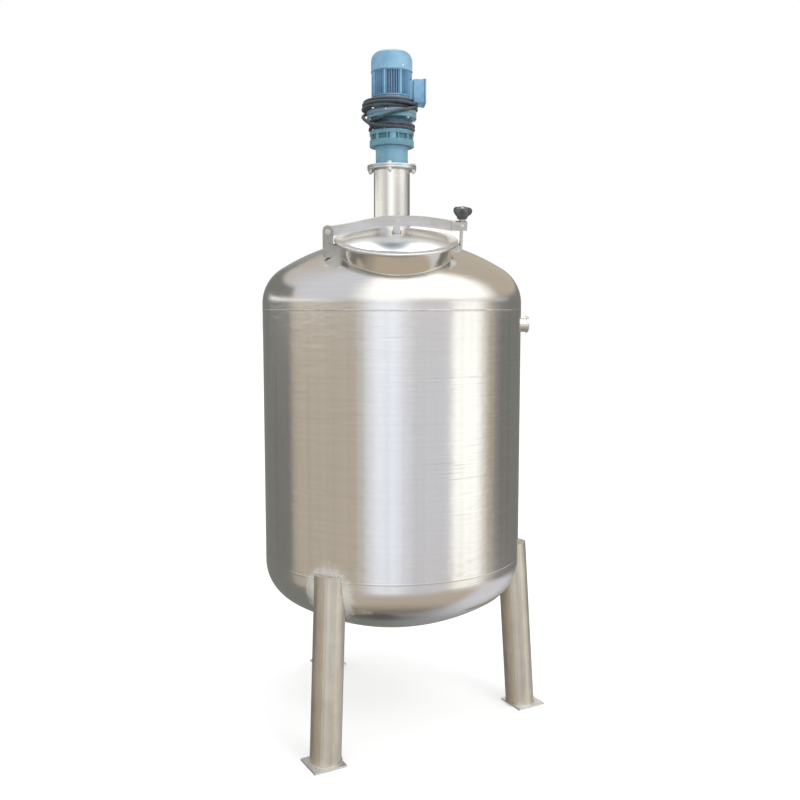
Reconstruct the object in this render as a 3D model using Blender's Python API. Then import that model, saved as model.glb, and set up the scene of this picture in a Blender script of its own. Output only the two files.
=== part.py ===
"""Industrial mixer: a closed stainless tank on three raked legs, with a top drive and a clamped manhole.

Metres, +Z up, floor at Z = 0. The tank's axis is vertical. The manhole faces -Y, the side nozzle,
the terminal box and one leg face +X.
"""
import math

import bmesh
import bpy
from mathutils import Matrix, Vector

# General clearances
GAP = 0.0003                 # between pieces that touch or are welded together
PIN_PLAY = 0.0004            # between a pin and its hole, on the radius
MERGE = 0.000001             # vertices closer than this are one
FUSE_DEPTH = 0.0012           # how far a fused guide reaches into its piece
WELD_OVERRUN = 0.004         # how far a welded bracket is drawn into the neck before it is coped
TANK_STEPS = 48              # facets round the tank, the legs' copes and the manhole
DRIVE_STEPS = 32             # facets round the drive's turned pieces
SMALL_STEPS = 16             # facets round pins, bolts and glands
ROUND_END_PARTS = 6          # facets round the half-round end of an ear

# Tank
TANK_RADIUS = 0.503          # outside of the shell
TANK_WALL = 0.003
BOTTOM_SEAM = 0.660          # height of the weld between bottom head and shell
SHELL_LENGTH = 0.954         # between the welds to the two heads
HEAD_FLANGE = 0.025          # straight rim of each head
CROWN_RADIUS = 0.805         # outside of the head's dished middle
KNUCKLE_RADIUS = 0.155       # outside of the head's rounded edge
KNUCKLE_PARTS = 4
CROWN_PARTS = 3
HEAD_BORE_RADIUS = 0.045     # opening in the top head under the stand tube

# Nozzles
OUTLET_RADIUS = 0.0265
OUTLET_WALL = 0.003
OUTLET_LENGTH = 0.024        # below the bottom head
NOZZLE_RADIUS = 0.0302
NOZZLE_WALL = 0.003
NOZZLE_DROP = 0.057          # from the top weld down to the side nozzle's axis
NOZZLE_REACH = 0.037         # outside the shell

# Legs
LEG_COUNT = 3
LEG_RADIUS = 0.057
LEG_WALL = 0.003
LEG_SPREAD = 0.025           # from the shell's surface out to the leg's axis, at the floor
LEG_RAKE = math.radians(3.7)
LEG_LAP = 0.014              # how far a leg reaches over the bottom weld
LEG_CAP_THICKNESS = 0.004
FOOT_SIDE = 0.125
FOOT_THICKNESS = 0.008
FOOT_OFFSET = 0.012          # foot plate's middle, outside the leg's axis
FOOT_TURN = math.radians(26)

# Manhole
MANHOLE_TILT = math.radians(17)
MANHOLE_INSET = 0.198        # from the shell's surface in to the middle of the lid's underside
MANHOLE_RISE = 0.026         # of that middle over the top head
NECK_RADIUS = 0.1975
NECK_WALL = 0.003
NECK_DEPTH = 0.150           # before it is trimmed flush with the inside of the head
NECK_LIP = 0.012             # width of the turned-out rim that carries the gasket
NECK_LIP_THICKNESS = 0.003
GASKET_THICKNESS = 0.006
GASKET_MARGIN = 0.001
LID_OVERHANG = 0.024         # of the lid's edge over the neck
LID_WALL = 0.003
LID_RIM = 0.0315             # width of the flat rim round the dome
LID_DOME_HEIGHT = 0.026
LID_DOME_PARTS = 3
LID_BEAD_RADIUS = 0.005
LID_BEAD_PARTS = 3

# Crossbar, in the manhole's frame: across is +X, rise is the distance over the lid's underside
BAR_THICKNESS = 0.010
BAR_DEPTH = 0.036
BAR_CROWN_RISE = 0.0705
BAR_CROWN_END = 0.045        # the level crown runs from the lid's middle to here
BAR_LEFT_DROP = 0.038
BAR_LEFT_REACH = 0.0645      # beyond the neck, to where the left drop is complete
BAR_RIGHT_DROP = 0.0272
BAR_RIGHT_REACH = 0.1175     # beyond the neck, to where the right drop would be complete
BAR_PARTS = 14
EYE_RADIUS = 0.018
CLEVIS_PAD_RADIUS = 0.017
CLEVIS_PAD_THICKNESS = 0.007
CLEVIS_EAR_THICKNESS = 0.005
CLEVIS_EAR_WIDTH = 0.022
CLEVIS_EAR_RISE = 0.006      # over the bar's middle line

# Hinge at the left of the manhole
HINGE_OUT = 0.0455           # from the neck to the hinge pin
HINGE_RISE = 0.033
HINGE_PIN_RADIUS = 0.005
PIN_END = 0.002              # how far a pin stands out of its ears
HINGE_EAR_THICKNESS = 0.006
HINGE_EAR_GAP = 0.0012       # between bar and ear
HINGE_EAR_RADIUS = 0.019
HINGE_WEB_TOP = -0.018
HINGE_EAR_STEP = 0.003       # ears over the web's top, beside the lid's rim
HINGE_FOOT = -0.060
HINGE_OUTER_MARGIN = 0.019   # from the hinge pin to the bracket's outer edge

# Clamp at the right of the manhole
CLAMP_OUT = 0.0345           # from the neck to the bolt's axis
CLAMP_RISE = 0.0545
FORK_LENGTH = 0.0543
FORK_WIDTH = 0.030
FORK_DEPTH = 0.031
FORK_SLOT = 0.0140
FORK_SLOT_START = 0.0205     # from the trunnion's axis back to the end of the slot
FORK_START = 0.036           # from the trunnion's axis back to the end of the bar
BOLT_RADIUS = 0.006
BOLT_REACH = 0.0575          # from the trunnion to the bolt's top
TRUNNION_RADIUS = 0.0095
TRUNNION_STUB_RADIUS = 0.005
LUG_OUT = 0.0225             # from the neck to the lug's pin
LUG_RISE = -0.024
LUG_PIN_RADIUS = 0.004
LUG_EAR_THICKNESS = 0.005
LUG_EAR_RADIUS = 0.012
LUG_SLOT = 0.017
LUG_WEB = 0.004
HOOK_RADIUS = 0.012          # bend of the hook bolt round the lug's pin
HOOK_PARTS = 6
HOOK_TOE = 0.007
KNOB_REACH = 0.0245          # from the trunnion to the knob's foot
KNOB_HEIGHT = 0.040
KNOB_RADIUS = 0.0355
KNOB_LOBES = 5
KNOB_LOBE_STEPS = 6
KNOB_LOBE_CUT = 0.24         # depth of the hollows between lobes, as a share of the radius
KNOB_LEVELS = [              # height, size and lobing, as shares of the knob's own
    (0.0, 0.28, 0.0),
    (0.30, 0.34, 0.0),
    (0.48, 0.72, 0.6),
    (0.62, 0.94, 1.0),
    (0.86, 1.0, 1.0),
    (0.97, 0.93, 1.0),
    (1.0, 0.82, 0.9),
]

# Stand and drive
STAND_RADIUS = 0.0698
STAND_WALL = 0.003
STAND_LENGTH = 0.256         # over the middle of the top head
FLANGE_RADIUS = 0.0946
STAND_FLANGE_THICKNESS = 0.008
DRIVE_FLANGE_THICKNESS = 0.008
DRUM_RADIUS = 0.0625
DRUM_HEIGHT = 0.0691
REDUCER_RADIUS = 0.0855
REDUCER_BASE_HEIGHT = 0.0237
REDUCER_CORE_RADIUS = 0.0765
REDUCER_RIBS = 12
REDUCER_RIB_THICKNESS = 0.007
REDUCER_RIB_HEIGHT = 0.019
REDUCER_RING_HEIGHT = 0.016
REDUCER_NECK_RADIUS = 0.068
REDUCER_NECK_HEIGHT = 0.0457
JOINT_RADIUS = 0.0950
JOINT_FLANGE_THICKNESS = 0.0148
SHIELD_RADIUS = 0.0745
SHIELD_STEP = 0.006
SHIELD_RIM = 0.012
SHIELD_HEIGHT = 0.0496
MOTOR_CORE_RADIUS = 0.0640
MOTOR_FIN_RADIUS = 0.0785
MOTOR_FINS = 36
MOTOR_FIN_THICKNESS = 0.0032
MOTOR_FIN_TAPER = 0.6        # thickness at the tip, as a share of that at the root
MOTOR_LENGTH = 0.0952        # of the finned body
BOX_SECTOR = math.radians(33)
COWL_RADIUS = 0.0800
COWL_ROUND = 0.024
COWL_ROUND_PARTS = 4
COWL_HEIGHT = 0.0747
COWL_EYE_RADIUS = 0.030
COWL_EYE_DEPTH = 0.004

# Terminal box
BOX_DROP = 0.0225            # from the finned body's lower end to the box's
BOX_HEIGHT = 0.088
BOX_WIDTH = 0.086
BOX_STANDOFF = 0.0015        # from the fins' tips to the box
BOX_DEPTH = 0.042
SADDLE_BOTTOM = 0.010        # over the end shield's top
SADDLE_TOP = 0.008           # under the box's top
SADDLE_OVERLAP = 0.002       # how far the saddle reaches into the box
COVER_THICKNESS = 0.008
COVER_MARGIN = 0.002
COVER_EDGE = 0.0025
GLAND_RADIUS = 0.0115
GLAND_LENGTH = 0.020
GLAND_COLLAR = 0.003         # length of the narrow collar against the box
GLAND_CAP = 0.006            # length of the tapered end
GLAND_TAPER = 0.003
GLAND_STEP = 0.002
GLAND_BACKSET = 0.021        # from the box's outer side in to the gland's axis
GLAND_RISE = 0.022           # over the box's lower end

# Cable
CABLE_DIAMETER = 0.013
UPPER_COIL_OVERHANG = 0.001  # from the motor flange's edge out to the middle between its two rows
UPPER_COIL_SHIFT = -0.008
UPPER_COIL_ROWS = 2
UPPER_COIL_LAYERS = 2
LOWER_COIL_INSET = 0.002     # from the gearbox's edge in to the middle of its row
LOWER_COIL_ROWS = 1
LOWER_COIL_LAYERS = 2
CABLE_POINT_SPACING = 2.2    # in diameters
CABLE_CURVE_STEPS = 20       # fine points between two places of a route
# Routes: degrees round the drive, radius from the motor flange's edge, height over that flange
CABLE_LEAD_ROUTE = [         # out of the gland, over the upper coil and down beside the lower one
    (50.0, 0.0440, 0.0505),
    (64.0, 0.0310, 0.0440),
    (77.0, 0.0190, 0.0375),
    (92.0, 0.0132, 0.0347),
    (106.0, 0.0206, 0.0330),
    (121.0, 0.0274, 0.0215),
    (137.0, 0.0290, 0.0090),
    (152.0, 0.0290, -0.0036),
    (166.0, 0.0170, -0.0150),
    (180.0, 0.0095, -0.0285),
    (195.0, 0.0045, -0.0420),
    (210.0, 0.0027, -0.0550),
    (226.0, 0.0022, -0.0655),
]
CABLE_CROSSING_ROUTE = [     # off the lower coil and up across the flange, to under the upper coil
    (195.2, -0.0111, -0.0426),
    (214.4, -0.0066, -0.0423),
    (231.0, 0.0003, -0.0409),
    (245.6, 0.0066, -0.0359),
    (259.9, 0.0078, -0.0279),
    (275.6, 0.0079, -0.0189),
    (290.8, 0.0077, -0.0109),
    (303.1, 0.0076, -0.0069),
]

# Agitator
SHAFT_RADIUS = 0.0175
SHAFT_DROP = 0.020           # from the bottom weld down to the shaft's end
SHAFT_LAP = 0.022            # of the shaft's top inside the drum
HUB_RADIUS = 0.034
HUB_HEIGHT = 0.060
HUB_RISE = 0.010             # over the shaft's lower end
BLADE_COUNT = 4
BLADE_SPAN = 0.205
BLADE_WIDTH = 0.060
BLADE_THICKNESS = 0.006
BLADE_PITCH = math.radians(45)
BLADE_ROOT = 0.008           # from the shaft's surface to the blade's inner end, inside the hub


def head_centre_radius():
    """Radius at which the knuckle's centre of curvature lies."""
    return TANK_RADIUS - KNUCKLE_RADIUS


def head_crown_centre():
    """Height of the crown's centre over the head's tangent line (below it, so negative)."""
    return -math.sqrt((CROWN_RADIUS - KNUCKLE_RADIUS) ** 2 - head_centre_radius() ** 2)


def head_tangent_angle():
    """Angle from the axis at which crown and knuckle meet."""
    return math.asin(head_centre_radius() / (CROWN_RADIUS - KNUCKLE_RADIUS))


def crown_height(radius, offset=0.0):
    """Height of the dished middle over the tangent line; offset is measured outwards."""
    return head_crown_centre() + math.sqrt((CROWN_RADIUS + offset) ** 2 - radius ** 2)


# Places that follow from the sizes
HEAD_DEPTH = head_crown_centre() + CROWN_RADIUS
TOP_SEAM = BOTTOM_SEAM + SHELL_LENGTH
TOP_TANGENT = TOP_SEAM + HEAD_FLANGE
BOTTOM_TANGENT = BOTTOM_SEAM - HEAD_FLANGE
NOZZLE_HEIGHT = TOP_SEAM - NOZZLE_DROP

LEG_FOOT_RADIUS = TANK_RADIUS + LEG_SPREAD
LEG_TOP = BOTTOM_SEAM + LEG_LAP
FOOT_REACH = FOOT_SIDE / 2 * (math.cos(FOOT_TURN) + math.sin(FOOT_TURN))
RIGHT_REACH = LEG_FOOT_RADIUS + FOOT_OFFSET + FOOT_REACH
AXIS_OFFSET = (TANK_RADIUS - RIGHT_REACH) / 2

MANHOLE_FORWARD = TANK_RADIUS - MANHOLE_INSET
MANHOLE_HEIGHT = TOP_TANGENT + crown_height(MANHOLE_FORWARD) + MANHOLE_RISE
NECK_TOP = -GASKET_THICKNESS - 2 * GAP
LID_RADIUS = NECK_RADIUS + LID_OVERHANG
LID_DOME_RADIUS = LID_RADIUS - LID_RIM
HINGE_ACROSS = -NECK_RADIUS - HINGE_OUT
HINGE_OUTER = HINGE_ACROSS - HINGE_OUTER_MARGIN
CLAMP_ACROSS = NECK_RADIUS + CLAMP_OUT
BAR_RIGHT_END = CLAMP_ACROSS - FORK_START
LUG_ACROSS = NECK_RADIUS + LUG_OUT
BOLT_TOP = CLAMP_RISE + BOLT_REACH
KNOB_RISE = CLAMP_RISE + KNOB_REACH

STAND_TOP = TOP_TANGENT + HEAD_DEPTH + STAND_LENGTH
STAND_FLANGE_TOP = STAND_TOP + GAP + STAND_FLANGE_THICKNESS
DRIVE_FLANGE_BOTTOM = STAND_FLANGE_TOP + GAP
DRIVE_FLANGE_TOP = DRIVE_FLANGE_BOTTOM + DRIVE_FLANGE_THICKNESS
DRUM_BOTTOM = DRIVE_FLANGE_TOP + GAP
DRUM_TOP = DRUM_BOTTOM + DRUM_HEIGHT
REDUCER_BASE_TOP = DRUM_TOP + GAP + REDUCER_BASE_HEIGHT
REDUCER_RING_BOTTOM = REDUCER_BASE_TOP + REDUCER_RIB_HEIGHT
REDUCER_RING_TOP = REDUCER_RING_BOTTOM + REDUCER_RING_HEIGHT
JOINT_BOTTOM = REDUCER_RING_TOP + GAP + REDUCER_NECK_HEIGHT
JOINT_MIDDLE = JOINT_BOTTOM + JOINT_FLANGE_THICKNESS
JOINT_TOP = JOINT_MIDDLE + GAP + JOINT_FLANGE_THICKNESS
SHIELD_TOP = JOINT_TOP + SHIELD_HEIGHT
MOTOR_TOP = SHIELD_TOP + GAP + MOTOR_LENGTH
COWL_TOP = MOTOR_TOP + GAP + COWL_HEIGHT

BOX_BOTTOM = SHIELD_TOP - BOX_DROP
BOX_TOP = BOX_BOTTOM + BOX_HEIGHT
BOX_START = MOTOR_FIN_RADIUS + BOX_STANDOFF
BOX_END = BOX_START + BOX_DEPTH
GLAND_ACROSS = BOX_END - GLAND_BACKSET
GLAND_HEIGHT = BOX_BOTTOM + GLAND_RISE
UPPER_COIL_MIDDLE = JOINT_RADIUS + UPPER_COIL_OVERHANG
LOWER_COIL_MIDDLE = REDUCER_RADIUS - LOWER_COIL_INSET

SHAFT_BOTTOM = BOTTOM_SEAM - SHAFT_DROP
SHAFT_TOP = DRUM_BOTTOM + SHAFT_LAP
HUB_BOTTOM = SHAFT_BOTTOM + HUB_RISE


def clear_scene():
    for item in list(bpy.data.objects):
        bpy.data.objects.remove(item, do_unlink=True)


def material(name, colour, roughness, metallic):
    made = bpy.data.materials.new(name)
    made.use_nodes = True
    shader = made.node_tree.nodes["Principled BSDF"]
    shader.inputs["Base Color"].default_value = (*colour, 1.0)
    shader.inputs["Roughness"].default_value = roughness
    shader.inputs["Metallic"].default_value = metallic
    made.diffuse_color = (*colour, 1.0)
    return made


def add_object(name, mesh, finish, parent, smooth_angle=35):
    """Turn a bmesh into a named object under a parent empty."""
    data = bpy.data.meshes.new(name)
    mesh.to_mesh(data)
    mesh.free()
    data.shade_smooth()
    data.set_sharp_from_angle(angle=math.radians(smooth_angle))
    if finish is not None:
        data.materials.append(finish)
    made = bpy.data.objects.new(name, data)
    bpy.context.scene.collection.objects.link(made)
    made.parent = parent
    return made


def add_empty(name, parent=None, location=(0, 0, 0), rotation=(0, 0, 0)):
    made = bpy.data.objects.new(name, None)
    made.location = location
    made.rotation_euler = rotation
    made.parent = parent
    bpy.context.scene.collection.objects.link(made)
    return made


def guide(item):
    """Mark an object as a cutter, which isn't part of the mixer."""
    item.hide_render = True
    item.display_type = "WIRE"
    return item


def cut(item, cutter):
    """Take one object's volume away from another."""
    boolean = item.modifiers.new("cut_" + cutter.name, "BOOLEAN")
    boolean.operation = "DIFFERENCE"
    boolean.solver = "EXACT"
    boolean.object = cutter


def join_with(item, other):
    """Fuse a guide object into a piece."""
    boolean = item.modifiers.new("join_" + other.name, "BOOLEAN")
    boolean.operation = "UNION"
    boolean.solver = "EXACT"
    boolean.object = other


def arc(centre, radius, start, end, parts):
    """Points (radius, height) along an arc, angles measured from the axis towards the rim."""
    points = []
    for index in range(parts + 1):
        angle = start + (end - start) * index / parts
        points.append((centre[0] + radius * math.sin(angle), centre[1] + radius * math.cos(angle)))
    return points


def turned(outline, steps, closed=True):
    """Spin an outline of (radius, height) points about Z; a closed outline makes a ring."""
    mesh = bmesh.new()
    verts = [mesh.verts.new((radius, 0.0, height)) for radius, height in outline]
    edges = [mesh.edges.new(pair) for pair in zip(verts, verts[1:])]
    if closed:
        edges.append(mesh.edges.new((verts[-1], verts[0])))
    bmesh.ops.spin(mesh, geom=verts + edges, cent=(0, 0, 0), axis=(0, 0, 1),
                   angle=2 * math.pi, steps=steps, use_merge=True)
    bmesh.ops.remove_doubles(mesh, verts=mesh.verts, dist=MERGE)
    bmesh.ops.recalc_face_normals(mesh, faces=mesh.faces)
    return mesh


def solid_of_revolution(points, steps):
    """Spin an outline that starts and ends on the axis."""
    return turned([(0.0, points[0][1])] + points + [(0.0, points[-1][1])], steps, closed=False)


def pipe(outer, inner, bottom, top, steps):
    return turned([(inner, bottom), (outer, bottom), (outer, top), (inner, top)], steps)


def disc(radius, bottom, top, steps):
    return solid_of_revolution([(radius, bottom), (radius, top)], steps)


def prism(outline, low, high):
    """Extrude a closed outline of (x, y) points from Z = low to Z = high."""
    mesh = bmesh.new()
    face = mesh.faces.new([mesh.verts.new((x, y, low)) for x, y in outline])
    raised = bmesh.ops.extrude_face_region(mesh, geom=[face])
    moved = [item for item in raised["geom"] if isinstance(item, bmesh.types.BMVert)]
    bmesh.ops.translate(mesh, verts=moved, vec=(0, 0, high - low))
    bmesh.ops.recalc_face_normals(mesh, faces=mesh.faces)
    return mesh


def block(low, high):
    """Box between two corners."""
    mesh = bmesh.new()
    bmesh.ops.create_cube(mesh, size=1.0)
    size = Vector(high) - Vector(low)
    middle = (Vector(high) + Vector(low)) / 2
    bmesh.ops.transform(mesh, matrix=Matrix.Diagonal((*size, 1.0)), verts=mesh.verts)
    bmesh.ops.translate(mesh, verts=mesh.verts, vec=middle)
    return mesh


def moved(mesh, matrix):
    bmesh.ops.transform(mesh, matrix=matrix, verts=mesh.verts)
    return mesh


def upright(mesh):
    """Stand a prism drawn in (across, rise) on edge, its thickness along the manhole's depth."""
    return moved(mesh, Matrix.Rotation(math.radians(90), 4, "X"))


def bevel_edges(item, width, segments=2):
    bevel = item.modifiers.new("rounded_edges", "BEVEL")
    bevel.width = width
    bevel.segments = segments
    bevel.limit_method = "ANGLE"


def head_outline(offset, bore):
    """One side of a head, rim to bore: straight rim, knuckle and crown; offset is outwards."""
    tangent = head_tangent_angle()
    knuckle_centre = (head_centre_radius(), 0.0)
    points = [(TANK_RADIUS + offset, -HEAD_FLANGE)]
    points += arc(knuckle_centre, KNUCKLE_RADIUS + offset, math.pi / 2, tangent, KNUCKLE_PARTS)
    stand_angle = math.asin(STAND_RADIUS / CROWN_RADIUS)
    crown = arc((0.0, head_crown_centre()), CROWN_RADIUS + offset, tangent, stand_angle, CROWN_PARTS)
    points += crown[1:]
    if bore > 0:
        points.append((bore, crown_height(bore, offset)))
    return points


def head_mesh(bore, upward, tangent_height):
    """A head of one wall thickness with a hole in its middle."""
    outer = head_outline(0.0, bore)
    inner = head_outline(-TANK_WALL, bore)
    outline = outer + inner[::-1]
    sign = 1 if upward else -1
    placed = [(radius, tangent_height + sign * height) for radius, height in outline]
    return turned(placed, TANK_STEPS)


def tank_form(offset):
    """The whole tank as a filled form, grown outwards by an offset, for trimming what meets it."""
    head = head_outline(offset, 0.0)
    apex = HEAD_DEPTH + offset
    top = [(radius, TOP_TANGENT + height) for radius, height in head]
    bottom = [(radius, BOTTOM_TANGENT - height) for radius, height in head]
    points = [(0.0, TOP_TANGENT + apex)] + top[::-1] + bottom + [(0.0, BOTTOM_TANGENT - apex)]
    return turned(points, TANK_STEPS, closed=False)


def tank(origin, steel):
    """Shell, two dished heads and two nozzles."""
    shell_mesh = pipe(TANK_RADIUS, TANK_RADIUS - TANK_WALL, BOTTOM_SEAM + GAP / 2, TOP_SEAM - GAP / 2,
                      TANK_STEPS)
    shell = add_object("shell", shell_mesh, steel, origin)
    top_head = add_object("top_head", head_mesh(HEAD_BORE_RADIUS, True, TOP_TANGENT + GAP / 2), steel,
                          origin)
    outlet_bore = OUTLET_RADIUS + GAP
    add_object("bottom_head", head_mesh(outlet_bore, False, BOTTOM_TANGENT - GAP / 2), steel, origin)

    outlet_top = BOTTOM_TANGENT - crown_height(OUTLET_RADIUS, -TANK_WALL)
    outlet_bottom = BOTTOM_TANGENT - HEAD_DEPTH - OUTLET_LENGTH
    add_object("bottom_outlet", pipe(OUTLET_RADIUS, OUTLET_RADIUS - OUTLET_WALL, outlet_bottom, outlet_top,
                                     SMALL_STEPS), steel, origin)

    along_x = Matrix.Translation((0, 0, NOZZLE_HEIGHT)) @ Matrix.Rotation(math.radians(90), 4, "Y")
    inside = math.sqrt((TANK_RADIUS - TANK_WALL) ** 2 - NOZZLE_RADIUS ** 2)
    nozzle = moved(pipe(NOZZLE_RADIUS, NOZZLE_RADIUS - NOZZLE_WALL, inside, TANK_RADIUS + NOZZLE_REACH,
                        SMALL_STEPS), along_x)
    add_object("side_nozzle", nozzle, steel, origin)
    drill = moved(disc(NOZZLE_RADIUS + GAP, inside - NOZZLE_RADIUS, TANK_RADIUS + NOZZLE_RADIUS,
                       SMALL_STEPS), along_x)
    cut(shell, guide(add_object("nozzle_drill", drill, None, origin)))
    return top_head


def legs(origin, leg_steel):
    """Three raked pipes coped to the bottom head, each with a cap and a square foot plate."""
    tank_cutter = guide(add_object("tank_outside", tank_form(GAP), None, origin))
    floor_top = FOOT_THICKNESS + GAP
    floor_cutter = guide(add_object("floor_block", block((-1, -1, -1), (1, 1, floor_top)), None, origin))
    length = LEG_TOP / math.cos(LEG_RAKE)
    for index in range(LEG_COUNT):
        angle = 2 * math.pi * index / LEG_COUNT
        number = str(index + 1)
        direction = Matrix.Rotation(angle, 4, "Z")
        stance = direction @ Matrix.Translation((LEG_FOOT_RADIUS, 0, 0))
        lean = stance @ Matrix.Rotation(-LEG_RAKE, 4, "Y")
        leg_mesh = moved(pipe(LEG_RADIUS, LEG_RADIUS - LEG_WALL, -LEG_RADIUS, length, DRIVE_STEPS), lean)
        leg = add_object("leg_" + number, leg_mesh, leg_steel, origin)
        cut(leg, floor_cutter)
        cut(leg, tank_cutter)
        cap_mesh = moved(disc(LEG_RADIUS, length + GAP, length + GAP + LEG_CAP_THICKNESS, DRIVE_STEPS), lean)
        cap = add_object("leg_cap_" + number, cap_mesh, leg_steel, origin)
        cut(cap, tank_cutter)
        centre = direction @ Vector((LEG_FOOT_RADIUS + FOOT_OFFSET, 0, 0))
        half = FOOT_SIDE / 2
        plate_mesh = moved(block((-half, -half, 0), (half, half, FOOT_THICKNESS)),
                           Matrix.Rotation(FOOT_TURN, 4, "Z"))
        plate = add_object("foot_plate_" + number, plate_mesh, leg_steel, origin)
        plate.location = centre


def manhole_neck(frame, origin, top_head, steel, rubber):
    """Welded neck with a turned-out rim, and the gasket that lies on it."""
    inner = NECK_RADIUS - NECK_WALL
    lip = NECK_RADIUS - NECK_WALL + NECK_LIP
    outline = [
        (inner, -NECK_DEPTH),
        (NECK_RADIUS, -NECK_DEPTH),
        (NECK_RADIUS, NECK_TOP - NECK_LIP_THICKNESS),
        (lip, NECK_TOP - NECK_LIP_THICKNESS),
        (lip, NECK_TOP),
        (inner, NECK_TOP),
    ]
    neck = add_object("manhole_neck", turned(outline, TANK_STEPS), steel, frame)
    cut(neck, guide(add_object("tank_inside", tank_form(-TANK_WALL), None, origin)))
    gasket_inner = inner + GASKET_MARGIN
    gasket_outer = lip - GASKET_MARGIN
    add_object("manhole_gasket", pipe(gasket_outer, gasket_inner, NECK_TOP + GAP, -GAP, TANK_STEPS), rubber,
               frame)
    trepan = disc(NECK_RADIUS + GAP, -NECK_DEPTH, NECK_DEPTH, TANK_STEPS)
    cut(top_head, guide(add_object("neck_trepan", trepan, None, frame)))


def lid_outline():
    """Domed lid with a flat rim over the gasket and a rolled bead at its edge."""
    top = []
    dome_rise = LID_DOME_HEIGHT
    dome = (LID_DOME_RADIUS ** 2 + dome_rise ** 2) / (2 * dome_rise)
    half_angle = math.asin(LID_DOME_RADIUS / dome)
    centre = LID_WALL + dome_rise - dome
    top += arc((0.0, centre), dome, 0.0, half_angle, LID_DOME_PARTS)
    bead_centre = (LID_RADIUS - LID_BEAD_RADIUS, LID_WALL - LID_BEAD_RADIUS + LID_WALL / 2)
    bead = arc(bead_centre, LID_BEAD_RADIUS, 0.0, math.pi, LID_BEAD_PARTS)
    inner_edge = (bead[-1][0] - LID_BEAD_RADIUS, bead[-1][1])
    under = arc((0.0, centre), dome - LID_WALL, half_angle, 0.0, LID_DOME_PARTS)
    rim = [inner_edge, (inner_edge[0], 0.0), (LID_DOME_RADIUS, 0.0)]
    return top + bead + rim + under[1:]


def lid_apex():
    return LID_WALL + LID_DOME_HEIGHT


def bar_rise(across):
    """Height of the crossbar's middle line at a place across the lid."""
    if across < 0:
        drop = BAR_LEFT_DROP
        share = -across / (NECK_RADIUS + BAR_LEFT_REACH)
    elif across > BAR_CROWN_END:
        drop = BAR_RIGHT_DROP
        share = (across - BAR_CROWN_END) / (NECK_RADIUS + BAR_RIGHT_REACH - BAR_CROWN_END)
    else:
        return BAR_CROWN_RISE
    return BAR_CROWN_RISE - drop * (1 - math.cos(math.pi * share)) / 2


def bar_outline():
    """Arched flat bar with a round eye at its left end."""
    start = HINGE_ACROSS + EYE_RADIUS
    stations = [start + (BAR_RIGHT_END - start) * index / BAR_PARTS for index in range(BAR_PARTS + 1)]
    lower = [(across, bar_rise(across) - BAR_DEPTH / 2) for across in stations]
    upper = [(across, bar_rise(across) + BAR_DEPTH / 2) for across in stations]
    eye = []
    for index in range(ROUND_END_PARTS + 1):
        angle = math.radians(90) + math.pi * index / ROUND_END_PARTS
        eye.append((HINGE_ACROSS + EYE_RADIUS * math.cos(angle), HINGE_RISE + EYE_RADIUS * math.sin(angle)))
    return lower + upper[::-1] + eye


def pin_along_depth(radius, half_length, across, rise, steps=SMALL_STEPS):
    """Round pin lying along the manhole's depth at (across, rise)."""
    matrix = Matrix.Translation((across, 0, rise)) @ Matrix.Rotation(math.radians(90), 4, "X")
    return moved(disc(radius, -half_length, half_length, steps), matrix)


def edge_plate(outline, thickness, middle=0.0):
    """Plate standing on edge: outline in (across, rise), thickness along the manhole's depth."""
    return moved(upright(prism(outline, -thickness / 2, thickness / 2)), Matrix.Translation((0, middle, 0)))


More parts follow.
